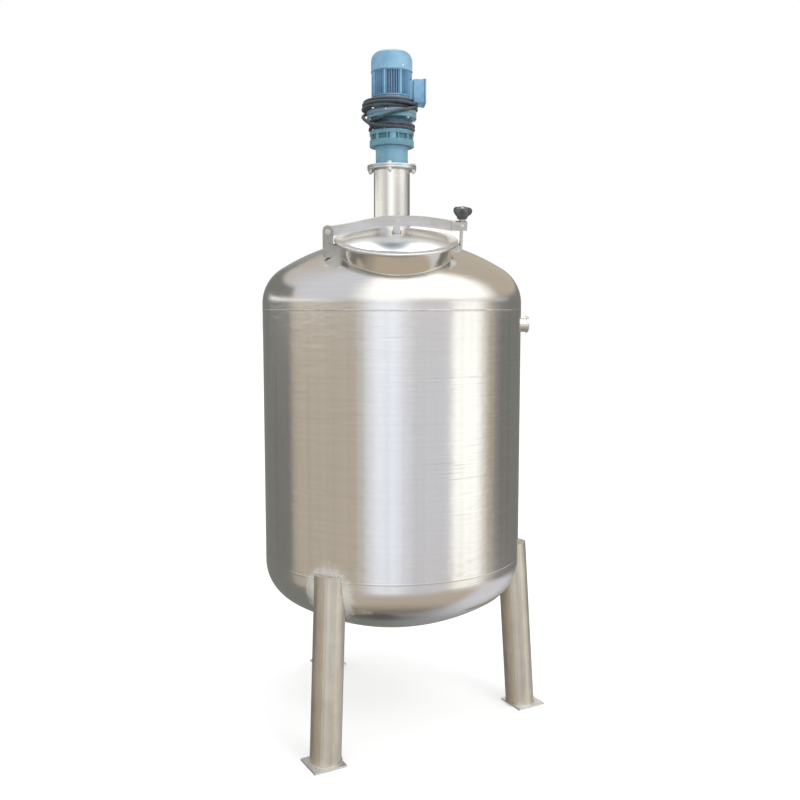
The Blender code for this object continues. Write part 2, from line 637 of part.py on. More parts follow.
def lid_assembly(frame, steel):
    """Lid, crossbar, clevis and fork, which swing together about the hinge pin."""
    hinge = add_empty("lid_hinge_axis", frame, (HINGE_ACROSS, 0, HINGE_RISE))
    back = Matrix.Translation((-HINGE_ACROSS, 0, -HINGE_RISE))
    lid = solid_of_revolution(lid_outline()[1:-1], TANK_STEPS)
    bmesh.ops.remove_doubles(lid, verts=lid.verts, dist=MERGE)
    add_object("manhole_lid", moved(lid, back), steel, hinge)

    bar = add_object("crossbar", moved(edge_plate(bar_outline(), BAR_THICKNESS), back), steel, hinge)
    eye_drill = pin_along_depth(HINGE_PIN_RADIUS + PIN_PLAY, BAR_THICKNESS, HINGE_ACROSS, HINGE_RISE)
    cut(bar, guide(add_object("bar_eye_drill", moved(eye_drill, back), None, hinge)))

    pad_bottom = lid_apex() + GAP
    pad_top = pad_bottom + CLEVIS_PAD_THICKNESS
    clevis = add_object("lid_clevis", moved(disc(CLEVIS_PAD_RADIUS, pad_bottom, pad_top, SMALL_STEPS), back),
                        steel, hinge)
    ear_middle = BAR_THICKNESS / 2 + GAP + CLEVIS_EAR_THICKNESS / 2
    ear_outline = [
        (-CLEVIS_EAR_WIDTH / 2, pad_top - GAP),
        (CLEVIS_EAR_WIDTH / 2, pad_top - GAP),
        (CLEVIS_EAR_WIDTH / 2, BAR_CROWN_RISE + CLEVIS_EAR_RISE),
        (-CLEVIS_EAR_WIDTH / 2, BAR_CROWN_RISE + CLEVIS_EAR_RISE),
    ]
    for side, name in ((-1, "front"), (1, "back")):
        ear = edge_plate(ear_outline, CLEVIS_EAR_THICKNESS, side * ear_middle)
        join_with(clevis, guide(add_object("clevis_ear_" + name, moved(ear, back), None, hinge)))

    fork_start = BAR_RIGHT_END + GAP
    low = CLAMP_RISE - FORK_DEPTH / 2
    fork_mesh = block((fork_start, -FORK_WIDTH / 2, low),
                      (fork_start + FORK_LENGTH, FORK_WIDTH / 2, low + FORK_DEPTH))
    fork = add_object("crossbar_fork", moved(fork_mesh, back), steel, hinge)
    slot = block((CLAMP_ACROSS - FORK_SLOT_START, -FORK_SLOT / 2, low - FORK_DEPTH),
                 (CLAMP_ACROSS + FORK_LENGTH, FORK_SLOT / 2, low + 2 * FORK_DEPTH))
    cut(fork, guide(add_object("fork_slot", moved(slot, back), None, hinge)))
    stub_drill = pin_along_depth(TRUNNION_STUB_RADIUS + PIN_PLAY, FORK_WIDTH, CLAMP_ACROSS, CLAMP_RISE)
    cut(fork, guide(add_object("fork_drill", moved(stub_drill, back), None, hinge)))
    return hinge


def clamp_bolt(hinge, steel, plastic):
    """Hook bolt in its trunnion, which swings in the fork, and the star knob on its thread."""
    pivot = add_empty("bolt_pivot", hinge, (CLAMP_ACROSS - HINGE_ACROSS, 0, CLAMP_RISE - HINGE_RISE))
    back = Matrix.Translation((-CLAMP_ACROSS, 0, -CLAMP_RISE))

    barrel_half = FORK_SLOT / 2 - PIN_PLAY
    stub_end = FORK_WIDTH / 2 - GAP
    outline = [
        (TRUNNION_STUB_RADIUS, -stub_end),
        (TRUNNION_STUB_RADIUS, -barrel_half),
        (TRUNNION_RADIUS, -barrel_half),
        (TRUNNION_RADIUS, barrel_half),
        (TRUNNION_STUB_RADIUS, barrel_half),
        (TRUNNION_STUB_RADIUS, stub_end),
    ]
    along_depth = Matrix.Rotation(math.radians(90), 4, "X")
    trunnion_mesh = moved(solid_of_revolution(outline, SMALL_STEPS), along_depth)
    trunnion = add_object("bolt_trunnion", trunnion_mesh, steel, pivot)
    bolt_drill = disc(BOLT_RADIUS + GAP, -TRUNNION_RADIUS * 2, TRUNNION_RADIUS * 2, SMALL_STEPS)
    cut(trunnion, guide(add_object("trunnion_drill", bolt_drill, None, pivot)))

    bend_centre = (CLAMP_ACROSS - HOOK_RADIUS, LUG_RISE)
    path = [(CLAMP_ACROSS, BOLT_TOP), (CLAMP_ACROSS, LUG_RISE)]
    for index in range(1, HOOK_PARTS + 1):
        angle = -math.radians(90) * index / HOOK_PARTS
        path.append((bend_centre[0] + HOOK_RADIUS * math.cos(angle),
                     bend_centre[1] + HOOK_RADIUS * math.sin(angle)))
    path.append((bend_centre[0] - HOOK_TOE, bend_centre[1] - HOOK_RADIUS))
    bolt = swept_rod(path, BOLT_RADIUS, SMALL_STEPS)
    add_object("hook_bolt", moved(bolt, back), steel, pivot)

    knob_axis = add_empty("knob_axis", pivot)
    knob = star_knob()
    add_object("star_knob", moved(knob, Matrix.Translation((0, 0, KNOB_RISE - CLAMP_RISE))), plastic,
               knob_axis)


def swept_rod(path, radius, steps):
    """Round rod along a path of (across, rise) points, mitred at each bend."""
    mesh = bmesh.new()
    rings = []
    for index, point in enumerate(path):
        before = Vector(path[max(index - 1, 0)])
        after = Vector(path[min(index + 1, len(path) - 1)])
        here = Vector(point)
        forward = (after - before).normalized()
        incoming = (here - before).normalized() if index else forward
        stretch = 1.0 / max(incoming.dot(forward), 0.5)
        side = Vector((forward.y, -forward.x))
        ring = []
        for step in range(steps):
            angle = 2 * math.pi * step / steps
            out = side * radius * stretch * math.cos(angle)
            ring.append(mesh.verts.new((here.x + out.x, radius * math.sin(angle), here.y + out.y)))
        rings.append(ring)
    for first, second in zip(rings, rings[1:]):
        for step in range(steps):
            following = (step + 1) % steps
            mesh.faces.new((first[step], first[following], second[following], second[step]))
    mesh.faces.new(rings[0][::-1])
    mesh.faces.new(rings[-1])
    bmesh.ops.recalc_face_normals(mesh, faces=mesh.faces)
    return mesh


def star_knob():
    """Five-lobed grip that tapers down to its neck, with a blind socket for the bolt."""
    steps = KNOB_LOBES * KNOB_LOBE_STEPS
    mesh = bmesh.new()
    rings = []
    for height, size, lobed in KNOB_LEVELS:
        ring = []
        for step in range(steps):
            angle = 2 * math.pi * step / steps
            wave = 0.5 - 0.5 * math.cos(KNOB_LOBES * angle)
            radius = KNOB_RADIUS * size * (1.0 - KNOB_LOBE_CUT * lobed * wave)
            ring.append(mesh.verts.new((radius * math.cos(angle), radius * math.sin(angle),
                                        height * KNOB_HEIGHT)))
        rings.append(ring)
    for first, second in zip(rings, rings[1:]):
        for step in range(steps):
            following = (step + 1) % steps
            mesh.faces.new((first[step], first[following], second[following], second[step]))
    socket = []
    depth = BOLT_TOP - KNOB_RISE + GAP
    for height in (0.0, depth):
        socket.append([mesh.verts.new(((BOLT_RADIUS + GAP) * math.cos(2 * math.pi * step / steps),
                                       (BOLT_RADIUS + GAP) * math.sin(2 * math.pi * step / steps), height))
                       for step in range(steps)])
    for step in range(steps):
        following = (step + 1) % steps
        mesh.faces.new((socket[0][step], socket[0][following], rings[0][following], rings[0][step]))
        mesh.faces.new((socket[1][step], socket[1][following], socket[0][following], socket[0][step]))
    mesh.faces.new(socket[1])
    mesh.faces.new(rings[-1])
    bmesh.ops.recalc_face_normals(mesh, faces=mesh.faces)
    return mesh


def hinge_bracket(frame, origin, steel):
    """Two ears joined by a web, welded to the left of the neck, and the pin through them."""
    ear_middle = BAR_THICKNESS / 2 + HINGE_EAR_GAP + HINGE_EAR_THICKNESS / 2
    neck_side = -NECK_RADIUS + WELD_OVERRUN
    ear = [
        (neck_side, HINGE_FOOT),
        (neck_side, HINGE_WEB_TOP + HINGE_EAR_STEP),
        (HINGE_ACROSS + HINGE_EAR_RADIUS, HINGE_WEB_TOP + HINGE_EAR_STEP),
    ]
    for index in range(ROUND_END_PARTS + 1):
        angle = math.pi * index / ROUND_END_PARTS
        ear.append((HINGE_ACROSS + HINGE_EAR_RADIUS * math.cos(angle),
                    HINGE_RISE + HINGE_EAR_RADIUS * math.sin(angle)))
    ear.append((HINGE_OUTER, HINGE_FOOT))
    web = [
        (neck_side - WELD_OVERRUN / 2, HINGE_FOOT + HINGE_EAR_THICKNESS),
        (neck_side - WELD_OVERRUN / 2, HINGE_WEB_TOP),
        (HINGE_OUTER + HINGE_EAR_THICKNESS, HINGE_WEB_TOP),
        (HINGE_OUTER + HINGE_EAR_THICKNESS, HINGE_FOOT + HINGE_EAR_THICKNESS),
    ]
    web_thickness = 2 * ear_middle
    bracket = add_object("hinge_bracket", edge_plate(web, web_thickness), steel, frame)
    for side, name in ((-1, "front"), (1, "back")):
        plate = edge_plate(ear, HINGE_EAR_THICKNESS, side * ear_middle)
        join_with(bracket, guide(add_object("hinge_ear_" + name, plate, None, frame)))
    cut(bracket, guide(add_object("neck_clear_left", disc(NECK_RADIUS + GAP, -NECK_DEPTH, 0, TANK_STEPS),
                                  None, frame)))
    cut(bracket, bpy.data.objects["tank_outside"])
    reach = ear_middle + HINGE_EAR_THICKNESS
    drill = pin_along_depth(HINGE_PIN_RADIUS + GAP, reach, HINGE_ACROSS, HINGE_RISE)
    cut(bracket, guide(add_object("hinge_drill", drill, None, frame)))
    pin_half = ear_middle + HINGE_EAR_THICKNESS / 2 + PIN_END
    add_object("hinge_pin", pin_along_depth(HINGE_PIN_RADIUS, pin_half, HINGE_ACROSS, HINGE_RISE), steel,
               frame)


def clamp_lug(frame, steel):
    """Two ears with a web on the right of the neck, and the pin that the hook bolt pulls on."""
    ear_middle = LUG_SLOT / 2 + LUG_EAR_THICKNESS / 2
    inner = NECK_RADIUS - WELD_OVERRUN
    ear = [(inner, LUG_RISE + LUG_EAR_RADIUS)]
    for index in range(ROUND_END_PARTS + 1):
        angle = math.radians(90) - math.pi * index / ROUND_END_PARTS
        ear.append((LUG_ACROSS + LUG_EAR_RADIUS * math.cos(angle),
                    LUG_RISE + LUG_EAR_RADIUS * math.sin(angle)))
    ear.append((inner, LUG_RISE - LUG_EAR_RADIUS))
    web_half = LUG_EAR_RADIUS - LUG_WEB / 2
    web = [
        (inner + WELD_OVERRUN / 2, LUG_RISE + web_half),
        (NECK_RADIUS + LUG_WEB, LUG_RISE + web_half),
        (NECK_RADIUS + LUG_WEB, LUG_RISE - web_half),
        (inner + WELD_OVERRUN / 2, LUG_RISE - web_half),
    ]
    lug = add_object("clamp_lug", edge_plate(web, LUG_SLOT + LUG_EAR_THICKNESS), steel, frame)
    for side, name in ((-1, "front"), (1, "back")):
        plate = edge_plate(ear, LUG_EAR_THICKNESS, side * ear_middle)
        join_with(lug, guide(add_object("lug_ear_" + name, plate, None, frame)))
    cut(lug, guide(add_object("neck_clear_right", disc(NECK_RADIUS + GAP, -NECK_DEPTH, 0, TANK_STEPS), None,
                              frame)))
    reach = ear_middle + LUG_EAR_THICKNESS
    drill = pin_along_depth(LUG_PIN_RADIUS + GAP, reach, LUG_ACROSS, LUG_RISE)
    cut(lug, guide(add_object("lug_drill", drill, None, frame)))
    pin_half = ear_middle + LUG_EAR_THICKNESS / 2 + PIN_END
    add_object("lug_pin", pin_along_depth(LUG_PIN_RADIUS, pin_half, LUG_ACROSS, LUG_RISE), steel, frame)


def stand(origin, steel):
    """Pipe welded on the top head, with the flange that carries the drive."""
    foot_outer = TOP_TANGENT + crown_height(STAND_RADIUS) + 2 * GAP
    inner_radius = STAND_RADIUS - STAND_WALL
    foot_inner = TOP_TANGENT + crown_height(inner_radius) + 2 * GAP
    tube = turned([(inner_radius, foot_inner), (STAND_RADIUS, foot_outer), (STAND_RADIUS, STAND_TOP),
                   (inner_radius, STAND_TOP)], DRIVE_STEPS)
    add_object("stand_tube", tube, steel, origin)
    add_object("stand_flange", pipe(FLANGE_RADIUS, inner_radius, STAND_TOP + GAP, STAND_FLANGE_TOP,
                                    DRIVE_STEPS), steel, origin)
    add_object("drive_flange", pipe(FLANGE_RADIUS, SHAFT_RADIUS + GAP, DRIVE_FLANGE_BOTTOM, DRIVE_FLANGE_TOP,
                                    DRIVE_STEPS), steel, origin)


def toothed(core, tip, count, thickness, taper, skip_half_angle=0.0):
    """Outline of a round core with straight radial fins; fins near +X can be left out."""
    outline = []
    for index in range(count):
        middle = 2 * math.pi * (index + 0.5) / count
        root_half = math.asin(thickness / 2 / core)
        tip_half = math.asin(thickness * taper / 2 / tip)
        from_x = abs((middle + math.pi) % (2 * math.pi) - math.pi)
        if from_x < skip_half_angle:
            outline.append((core * math.cos(middle), core * math.sin(middle)))
            continue
        for radius, angle in ((core, middle - root_half), (tip, middle - tip_half),
                              (tip, middle + tip_half), (core, middle + root_half)):
            outline.append((radius * math.cos(angle), radius * math.sin(angle)))
    return outline


def reducer(origin, teal):
    """Gearbox: drum, ribbed housing between two rims, and the neck with the motor's flange."""
    drum = pipe(DRUM_RADIUS, SHAFT_RADIUS + GAP, DRUM_BOTTOM, DRUM_TOP, DRIVE_STEPS)
    add_object("adaptor_drum", drum, teal, origin)
    housing = [
        (REDUCER_RADIUS, DRUM_TOP + GAP),
        (REDUCER_RADIUS, REDUCER_BASE_TOP),
        (REDUCER_CORE_RADIUS, REDUCER_BASE_TOP),
        (REDUCER_CORE_RADIUS, REDUCER_RING_BOTTOM),
        (REDUCER_RADIUS, REDUCER_RING_BOTTOM),
        (REDUCER_RADIUS, REDUCER_RING_TOP),
    ]
    body = add_object("reducer_housing", solid_of_revolution(housing, DRIVE_STEPS), teal, origin)
    ribs = toothed(REDUCER_CORE_RADIUS - FUSE_DEPTH, REDUCER_RADIUS - FUSE_DEPTH, REDUCER_RIBS,
                   REDUCER_RIB_THICKNESS, 1.0)
    ribbing = prism(ribs, REDUCER_BASE_TOP - FUSE_DEPTH, REDUCER_RING_BOTTOM + FUSE_DEPTH)
    join_with(body, guide(add_object("reducer_ribs", ribbing, None, origin)))
    neck = [
        (REDUCER_NECK_RADIUS, REDUCER_RING_TOP + GAP),
        (REDUCER_NECK_RADIUS, JOINT_BOTTOM),
        (JOINT_RADIUS, JOINT_BOTTOM),
        (JOINT_RADIUS, JOINT_MIDDLE),
    ]
    add_object("reducer_neck", solid_of_revolution(neck, DRIVE_STEPS), teal, origin)


def motor(origin, blue):
    """Finned motor on its flange, with the fan cowl on top."""
    shield = [
        (JOINT_RADIUS, JOINT_MIDDLE + GAP),
        (JOINT_RADIUS, JOINT_TOP),
        (SHIELD_RADIUS - SHIELD_STEP, JOINT_TOP),
        (SHIELD_RADIUS - SHIELD_STEP, SHIELD_TOP - SHIELD_RIM - SHIELD_STEP),
        (SHIELD_RADIUS, SHIELD_TOP - SHIELD_RIM),
        (SHIELD_RADIUS, SHIELD_TOP),
    ]
    add_object("motor_end_shield", solid_of_revolution(shield, DRIVE_STEPS), blue, origin)
    fins = toothed(MOTOR_CORE_RADIUS, MOTOR_FIN_RADIUS, MOTOR_FINS, MOTOR_FIN_THICKNESS, MOTOR_FIN_TAPER,
                   BOX_SECTOR)
    add_object("motor_body", prism(fins, SHIELD_TOP + GAP, MOTOR_TOP), blue, origin)
    cowl = [(COWL_RADIUS, MOTOR_TOP + GAP)]
    edge_centre = (COWL_RADIUS - COWL_ROUND, COWL_TOP - COWL_ROUND)
    cowl += arc(edge_centre, COWL_ROUND, math.pi / 2, 0.0, COWL_ROUND_PARTS)
    cowl += [(COWL_EYE_RADIUS, COWL_TOP), (COWL_EYE_RADIUS - COWL_EYE_DEPTH, COWL_TOP - COWL_EYE_DEPTH)]
    add_object("fan_cowl", solid_of_revolution(cowl, DRIVE_STEPS), blue, origin)


def terminal_box(origin, blue, rubber):
    """Box on a saddle at the motor's right side, its cover and the cable gland under it."""
    half = BOX_WIDTH / 2
    saddle_half = MOTOR_CORE_RADIUS * math.sin(BOX_SECTOR) - FUSE_DEPTH
    box = add_object("terminal_box", block((BOX_START, -half, BOX_BOTTOM), (BOX_END, half, BOX_TOP)), blue,
                     origin)
    saddle = block((MOTOR_CORE_RADIUS * math.cos(BOX_SECTOR), -saddle_half, SHIELD_TOP + SADDLE_BOTTOM),
                   (BOX_START + SADDLE_OVERLAP, saddle_half, BOX_TOP - SADDLE_TOP))
    join_with(box, guide(add_object("box_saddle", saddle, None, origin)))
    core = disc(MOTOR_CORE_RADIUS + GAP, SHIELD_TOP, MOTOR_TOP, DRIVE_STEPS * 2)
    cut(box, guide(add_object("motor_core_clear", core, None, origin)))
    wide = half + COVER_MARGIN
    cover = add_object("terminal_box_cover", block((BOX_END + GAP, -wide, BOX_BOTTOM - COVER_MARGIN),
                                                   (BOX_END + GAP + COVER_THICKNESS, wide,
                                                    BOX_TOP + COVER_MARGIN)), blue, origin)
    bevel_edges(cover, COVER_EDGE)
    nut = [
        (GLAND_RADIUS - GLAND_TAPER, GLAND_LENGTH),
        (GLAND_RADIUS, GLAND_LENGTH - GLAND_CAP),
        (GLAND_RADIUS, GLAND_COLLAR),
        (GLAND_RADIUS - GLAND_STEP, 0.0),
    ]
    from_back = Matrix.Translation((GLAND_ACROSS, half + GAP, GLAND_HEIGHT))
    along_y = Matrix.Rotation(math.radians(-90), 4, "X")
    add_object("cable_gland", moved(solid_of_revolution(nut, SMALL_STEPS), from_back @ along_y), rubber,
               origin)


def coil_ring(name, middle, rows, layers, bottom, shift, rubber, origin):
    """The outer shape of a wound bundle: rows side by side, layers on top of each other."""
    half = rows * CABLE_DIAMETER / 2
    ring = pipe(middle + half, middle - half, bottom, bottom + layers * CABLE_DIAMETER, DRIVE_STEPS)
    add_object(name, moved(ring, Matrix.Translation((shift, 0, 0))), rubber, origin)


def round_the_drive(route):
    """Places of a route given in degrees, radius from the motor flange's edge and height over it."""
    places = []
    for degrees, out, rise in route:
        angle = math.radians(degrees)
        radius = JOINT_RADIUS + out
        places.append(Vector((radius * math.cos(angle), radius * math.sin(angle), JOINT_TOP + rise)))
    return places


def smooth_route(places):
    """Evenly spaced points on a smooth curve through the places."""
    ends = [2 * places[0] - places[1]] + places + [2 * places[-1] - places[-2]]
    fine = []
    for index in range(1, len(ends) - 2):
        first, second, third, fourth = ends[index - 1:index + 3]
        for step in range(CABLE_CURVE_STEPS):
            t = step / CABLE_CURVE_STEPS
            fine.append(0.5 * (2 * second + (third - first) * t
                               + (2 * first - 5 * second + 4 * third - fourth) * t ** 2
                               + (3 * second - first - 3 * third + fourth) * t ** 3))
    fine.append(places[-1])
    travelled = [0.0]
    for before, after in zip(fine, fine[1:]):
        travelled.append(travelled[-1] + (after - before).length)
    count = max(2, round(travelled[-1] / (CABLE_POINT_SPACING * CABLE_DIAMETER)))
    route = []
    for index in range(count + 1):
        target = travelled[-1] * index / count
        place = min(range(len(travelled)), key=lambda item: abs(travelled[item] - target))
        route.append(fine[place])
    return route


def cord_tube(name, route, rubber, origin):
    curve = bpy.data.curves.new(name, "CURVE")
    curve.dimensions = "3D"
    curve.bevel_depth = CABLE_DIAMETER / 2
    curve.bevel_resolution = 2
    curve.use_fill_caps = True
    spline = curve.splines.new("POLY")
    spline.points.add(len(route) - 1)
    for point, place in zip(spline.points, route):
        point.co = (*place, 1.0)
    curve.materials.append(rubber)
    made = bpy.data.objects.new(name, curve)
    bpy.context.scene.collection.objects.link(made)
    made.parent = origin


def cable(origin, rubber):
    """Supply cable: out of the gland, wound over the motor flange and under it on the gearbox."""
    face = BOX_WIDTH / 2 + GAP + GLAND_LENGTH + GAP
    straight = [Vector((GLAND_ACROSS, face + part * CABLE_DIAMETER, GLAND_HEIGHT)) for part in (0.0, 1.0)]
    lead = [straight[0]] + smooth_route([straight[1]] + round_the_drive(CABLE_LEAD_ROUTE))
    cord_tube("cable_lead", lead, rubber, origin)
    cord_tube("cable_crossing", smooth_route(round_the_drive(CABLE_CROSSING_ROUTE)), rubber, origin)
    coil_ring("cable_coil_upper", UPPER_COIL_MIDDLE, UPPER_COIL_ROWS, UPPER_COIL_LAYERS, JOINT_TOP + GAP,
              UPPER_COIL_SHIFT, rubber, origin)
    coil_ring("cable_coil_lower", LOWER_COIL_MIDDLE, LOWER_COIL_ROWS, LOWER_COIL_LAYERS,
              REDUCER_RING_TOP + GAP, 0.0, rubber, origin)


def agitator(origin, steel):
    """Shaft from the gearbox down to a hub with four pitched blades."""
    add_object("agitator_shaft", disc(SHAFT_RADIUS, SHAFT_BOTTOM, SHAFT_TOP, SMALL_STEPS), steel, origin)
    hub = add_object("agitator_impeller", pipe(HUB_RADIUS, SHAFT_RADIUS + GAP, HUB_BOTTOM,
                                               HUB_BOTTOM + HUB_HEIGHT, SMALL_STEPS), steel, origin)
    middle = HUB_BOTTOM + HUB_HEIGHT / 2
    for index in range(BLADE_COUNT):
        angle = 2 * math.pi * (index + 0.5) / BLADE_COUNT
        blade = block((SHAFT_RADIUS + BLADE_ROOT, -BLADE_WIDTH / 2, -BLADE_THICKNESS / 2),
                      (BLADE_SPAN, BLADE_WIDTH / 2, BLADE_THICKNESS / 2))
        matrix = (Matrix.Translation((0, 0, middle)) @ Matrix.Rotation(angle, 4, "Z")
                  @ Matrix.Rotation(BLADE_PITCH, 4, "X"))
        join_with(hub, guide(add_object("blade_" + str(index + 1), moved(blade, matrix), None, origin)))


def main():
    clear_scene()
    steel = material("brushed_stainless", (0.62, 0.61, 0.59), 0.28, 1.0)
    leg_steel = material("satin_stainless", (0.56, 0.53, 0.48), 0.42, 1.0)
    mirror = material("polished_stainless", (0.70, 0.66, 0.60), 0.12, 1.0)
    blue = material("motor_blue_paint", (0.16, 0.33, 0.50), 0.40, 0.0)
    teal = material("reducer_teal_paint", (0.14, 0.38, 0.45), 0.40, 0.0)
    rubber = material("black_rubber", (0.05, 0.05, 0.06), 0.55, 0.0)
    silicone = material("gasket_silicone", (0.75, 0.74, 0.70), 0.50, 0.0)
    plastic = material("black_knob_plastic", (0.03, 0.03, 0.035), 0.35, 0.0)

    origin = add_empty("mixer_axis", None, (AXIS_OFFSET, 0, 0))
    frame = add_empty("manhole_frame", origin, (0, -MANHOLE_FORWARD, MANHOLE_HEIGHT), (MANHOLE_TILT, 0, 0))
    top_head = tank(origin, steel)
    legs(origin, leg_steel)
    manhole_neck(frame, origin, top_head, mirror, silicone)
    hinge = lid_assembly(frame, steel)
    clamp_bolt(hinge, steel, plastic)
    hinge_bracket(frame, origin, steel)
    clamp_lug(frame, steel)
    stand(origin, steel)
    reducer(origin, teal)
    motor(origin, blue)
    terminal_box(origin, blue, rubber)
    cable(origin, rubber)
    agitator(origin, steel)


main()
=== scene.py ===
"""Looks for the industrial mixer: camera, cable, steel and paint, welds, fasteners and a studio.

Metres, in the frame of the CAD model. An outline is a list of (radius, height) points about an axis.
A place on the manhole is (across, rise) in the manhole's own tilted frame.
"""
from math import asin, atan2, cos, hypot, pi, radians, sin, sqrt

import bmesh
import bpy
from mathutils import Matrix, Vector


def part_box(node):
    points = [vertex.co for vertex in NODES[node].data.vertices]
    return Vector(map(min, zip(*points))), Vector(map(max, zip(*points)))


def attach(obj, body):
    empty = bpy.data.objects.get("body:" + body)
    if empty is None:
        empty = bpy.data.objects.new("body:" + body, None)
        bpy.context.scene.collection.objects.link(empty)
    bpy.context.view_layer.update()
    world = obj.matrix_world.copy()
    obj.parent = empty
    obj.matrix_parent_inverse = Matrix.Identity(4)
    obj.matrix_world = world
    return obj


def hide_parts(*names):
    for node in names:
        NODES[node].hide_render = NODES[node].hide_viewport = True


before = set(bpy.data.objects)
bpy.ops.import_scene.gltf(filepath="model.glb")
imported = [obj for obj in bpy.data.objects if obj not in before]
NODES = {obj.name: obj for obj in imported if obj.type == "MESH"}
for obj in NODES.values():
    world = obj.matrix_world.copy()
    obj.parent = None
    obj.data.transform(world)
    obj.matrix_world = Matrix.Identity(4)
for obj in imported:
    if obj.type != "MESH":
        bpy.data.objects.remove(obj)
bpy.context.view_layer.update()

# Sizes repeated from the part's source
TANK_RADIUS = 0.503
TANK_WALL = 0.003
TOP_SEAM = 1.614
BOTTOM_SEAM = 0.66
HEAD_FLANGE = 0.025
CROWN_RADIUS = 0.805
KNUCKLE_RADIUS = 0.155
KNUCKLE_PLACE = TANK_RADIUS - KNUCKLE_RADIUS
CROWN_CENTRE = -sqrt((CROWN_RADIUS - KNUCKLE_RADIUS) ** 2 - KNUCKLE_PLACE ** 2)
HEAD_ANGLE = asin(KNUCKLE_PLACE / (CROWN_RADIUS - KNUCKLE_RADIUS))
HEAD_DEPTH = CROWN_CENTRE + CROWN_RADIUS
TOP_TANGENT = TOP_SEAM + HEAD_FLANGE
BOTTOM_TANGENT = BOTTOM_SEAM - HEAD_FLANGE
OUTLET_RADIUS = 0.0265
NOZZLE_RADIUS = 0.0302
NOZZLE_HEIGHT = TOP_SEAM - 0.057
NOZZLE_REACH = 0.037
PIPE_WALL = 0.003
LEG_RADIUS = 0.057
LEG_FOOT_RADIUS = TANK_RADIUS + 0.025
LEG_RAKE = radians(3.7)
LEG_TOP = BOTTOM_SEAM + 0.014
LEG_CAP = 0.0043
FOOT_TOP = 0.0083
MANHOLE_TILT = radians(17)
MANHOLE_FORWARD = TANK_RADIUS - 0.198
MANHOLE_HEIGHT = TOP_TANGENT + CROWN_CENTRE + sqrt(CROWN_RADIUS ** 2 - MANHOLE_FORWARD ** 2) + 0.026
NECK_RADIUS = 0.1975
NECK_LIP_RADIUS = 0.2065
LID_RADIUS = 0.2215
LID_WALL = 0.003
LID_DOME_RADIUS = LID_RADIUS - 0.0315
LID_DOME_HEIGHT = 0.026
HINGE_PLACE = (-0.243, 0.033)
CLAMP_PLACE = (0.232, 0.0545)
LUG_PLACE = (0.22, -0.024)
CLEVIS_PLACE = (0.0, 0.0705)
STAND_RADIUS = 0.0698
SHAFT_BORE = 0.0178
JOINT_RADIUS = 0.095
JOINT_FLANGE = 0.0148
CABLE_DIAMETER = 0.013

# Details of this model
SKIN = 0.0004                # the skins lie this far inside, so that ground welds stand proud of them
TANK_STEPS = 144
NECK_STEPS = 160
CAST_STEPS = 128
WELD_STEP = 0.0012
WELD_PITCH = 0.0045
WELD_RIPPLE = 0.13
TUBE_SIDES = 8
BELOW_HEAD = -0.2            # lines towards the head start this far down the manhole's axis


def turn(angle, axis="Z"):
    return Matrix.Rotation(angle, 4, axis)


def shift(*place):
    return Matrix.Translation(place)


def middle(node):
    low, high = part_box(node)
    return (low + high) / 2


def levels(node):
    """Height of a node's underside and of its top."""
    low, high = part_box(node)
    return low.z, high.z


AXIS_X = middle("stand_tube").x
TANK = shift(AXIS_X, 0, 0)
MANHOLE = shift(AXIS_X, -MANHOLE_FORWARD, MANHOLE_HEIGHT) @ turn(MANHOLE_TILT, "X")
MANHOLE_UP = (MANHOLE.to_3x3() @ Vector((0, 0, 1))).normalized()

CAMERA_PLACE = (-0.2478, -3.5852, 1.616)
CAMERA_TURN = (radians(84.32), 0.0, radians(-3.5))
CAMERA_LENS = 40.93


def new_object(name, data):
    made = bpy.data.objects.new(name, data)
    bpy.context.scene.collection.objects.link(made)
    return made


def add_camera():
    data = bpy.data.cameras.new("photo_camera")
    data.sensor_width = 36.0
    data.lens = CAMERA_LENS
    camera = new_object("photo_camera", data)
    camera.location = CAMERA_PLACE
    camera.rotation_euler = CAMERA_TURN
    bpy.context.scene.camera = camera
    bpy.context.scene.view_settings.view_transform = "Standard"


# Node materials


def linear(*colour):
    """A colour written as it looks on a screen, 0 to 255, as the numbers that the shader wants."""
    return tuple((c / 255 / 12.92) if c <= 10 else ((c / 255 + 0.055) / 1.055) ** 2.4 for c in colour)


def put(socket, value):
    """Link a socket to a value, or set it to a plain one."""
    value = getattr(value, "socket", value)
    if isinstance(value, bpy.types.NodeSocket):
        socket.id_data.links.new(value, socket)
    elif value is not None:
        socket.default_value = value


def new_node(tree, kind, inputs=(), **settings):
    """A node with its settings; inputs holds its first inputs, or those that a dictionary names."""
    made = tree.nodes.new("ShaderNode" + kind)
    for key, value in settings.items():
        setattr(made, key, value)
    for key, value in inputs.items() if isinstance(inputs, dict) else enumerate(inputs):
        put(made.inputs[key], value)
    return made


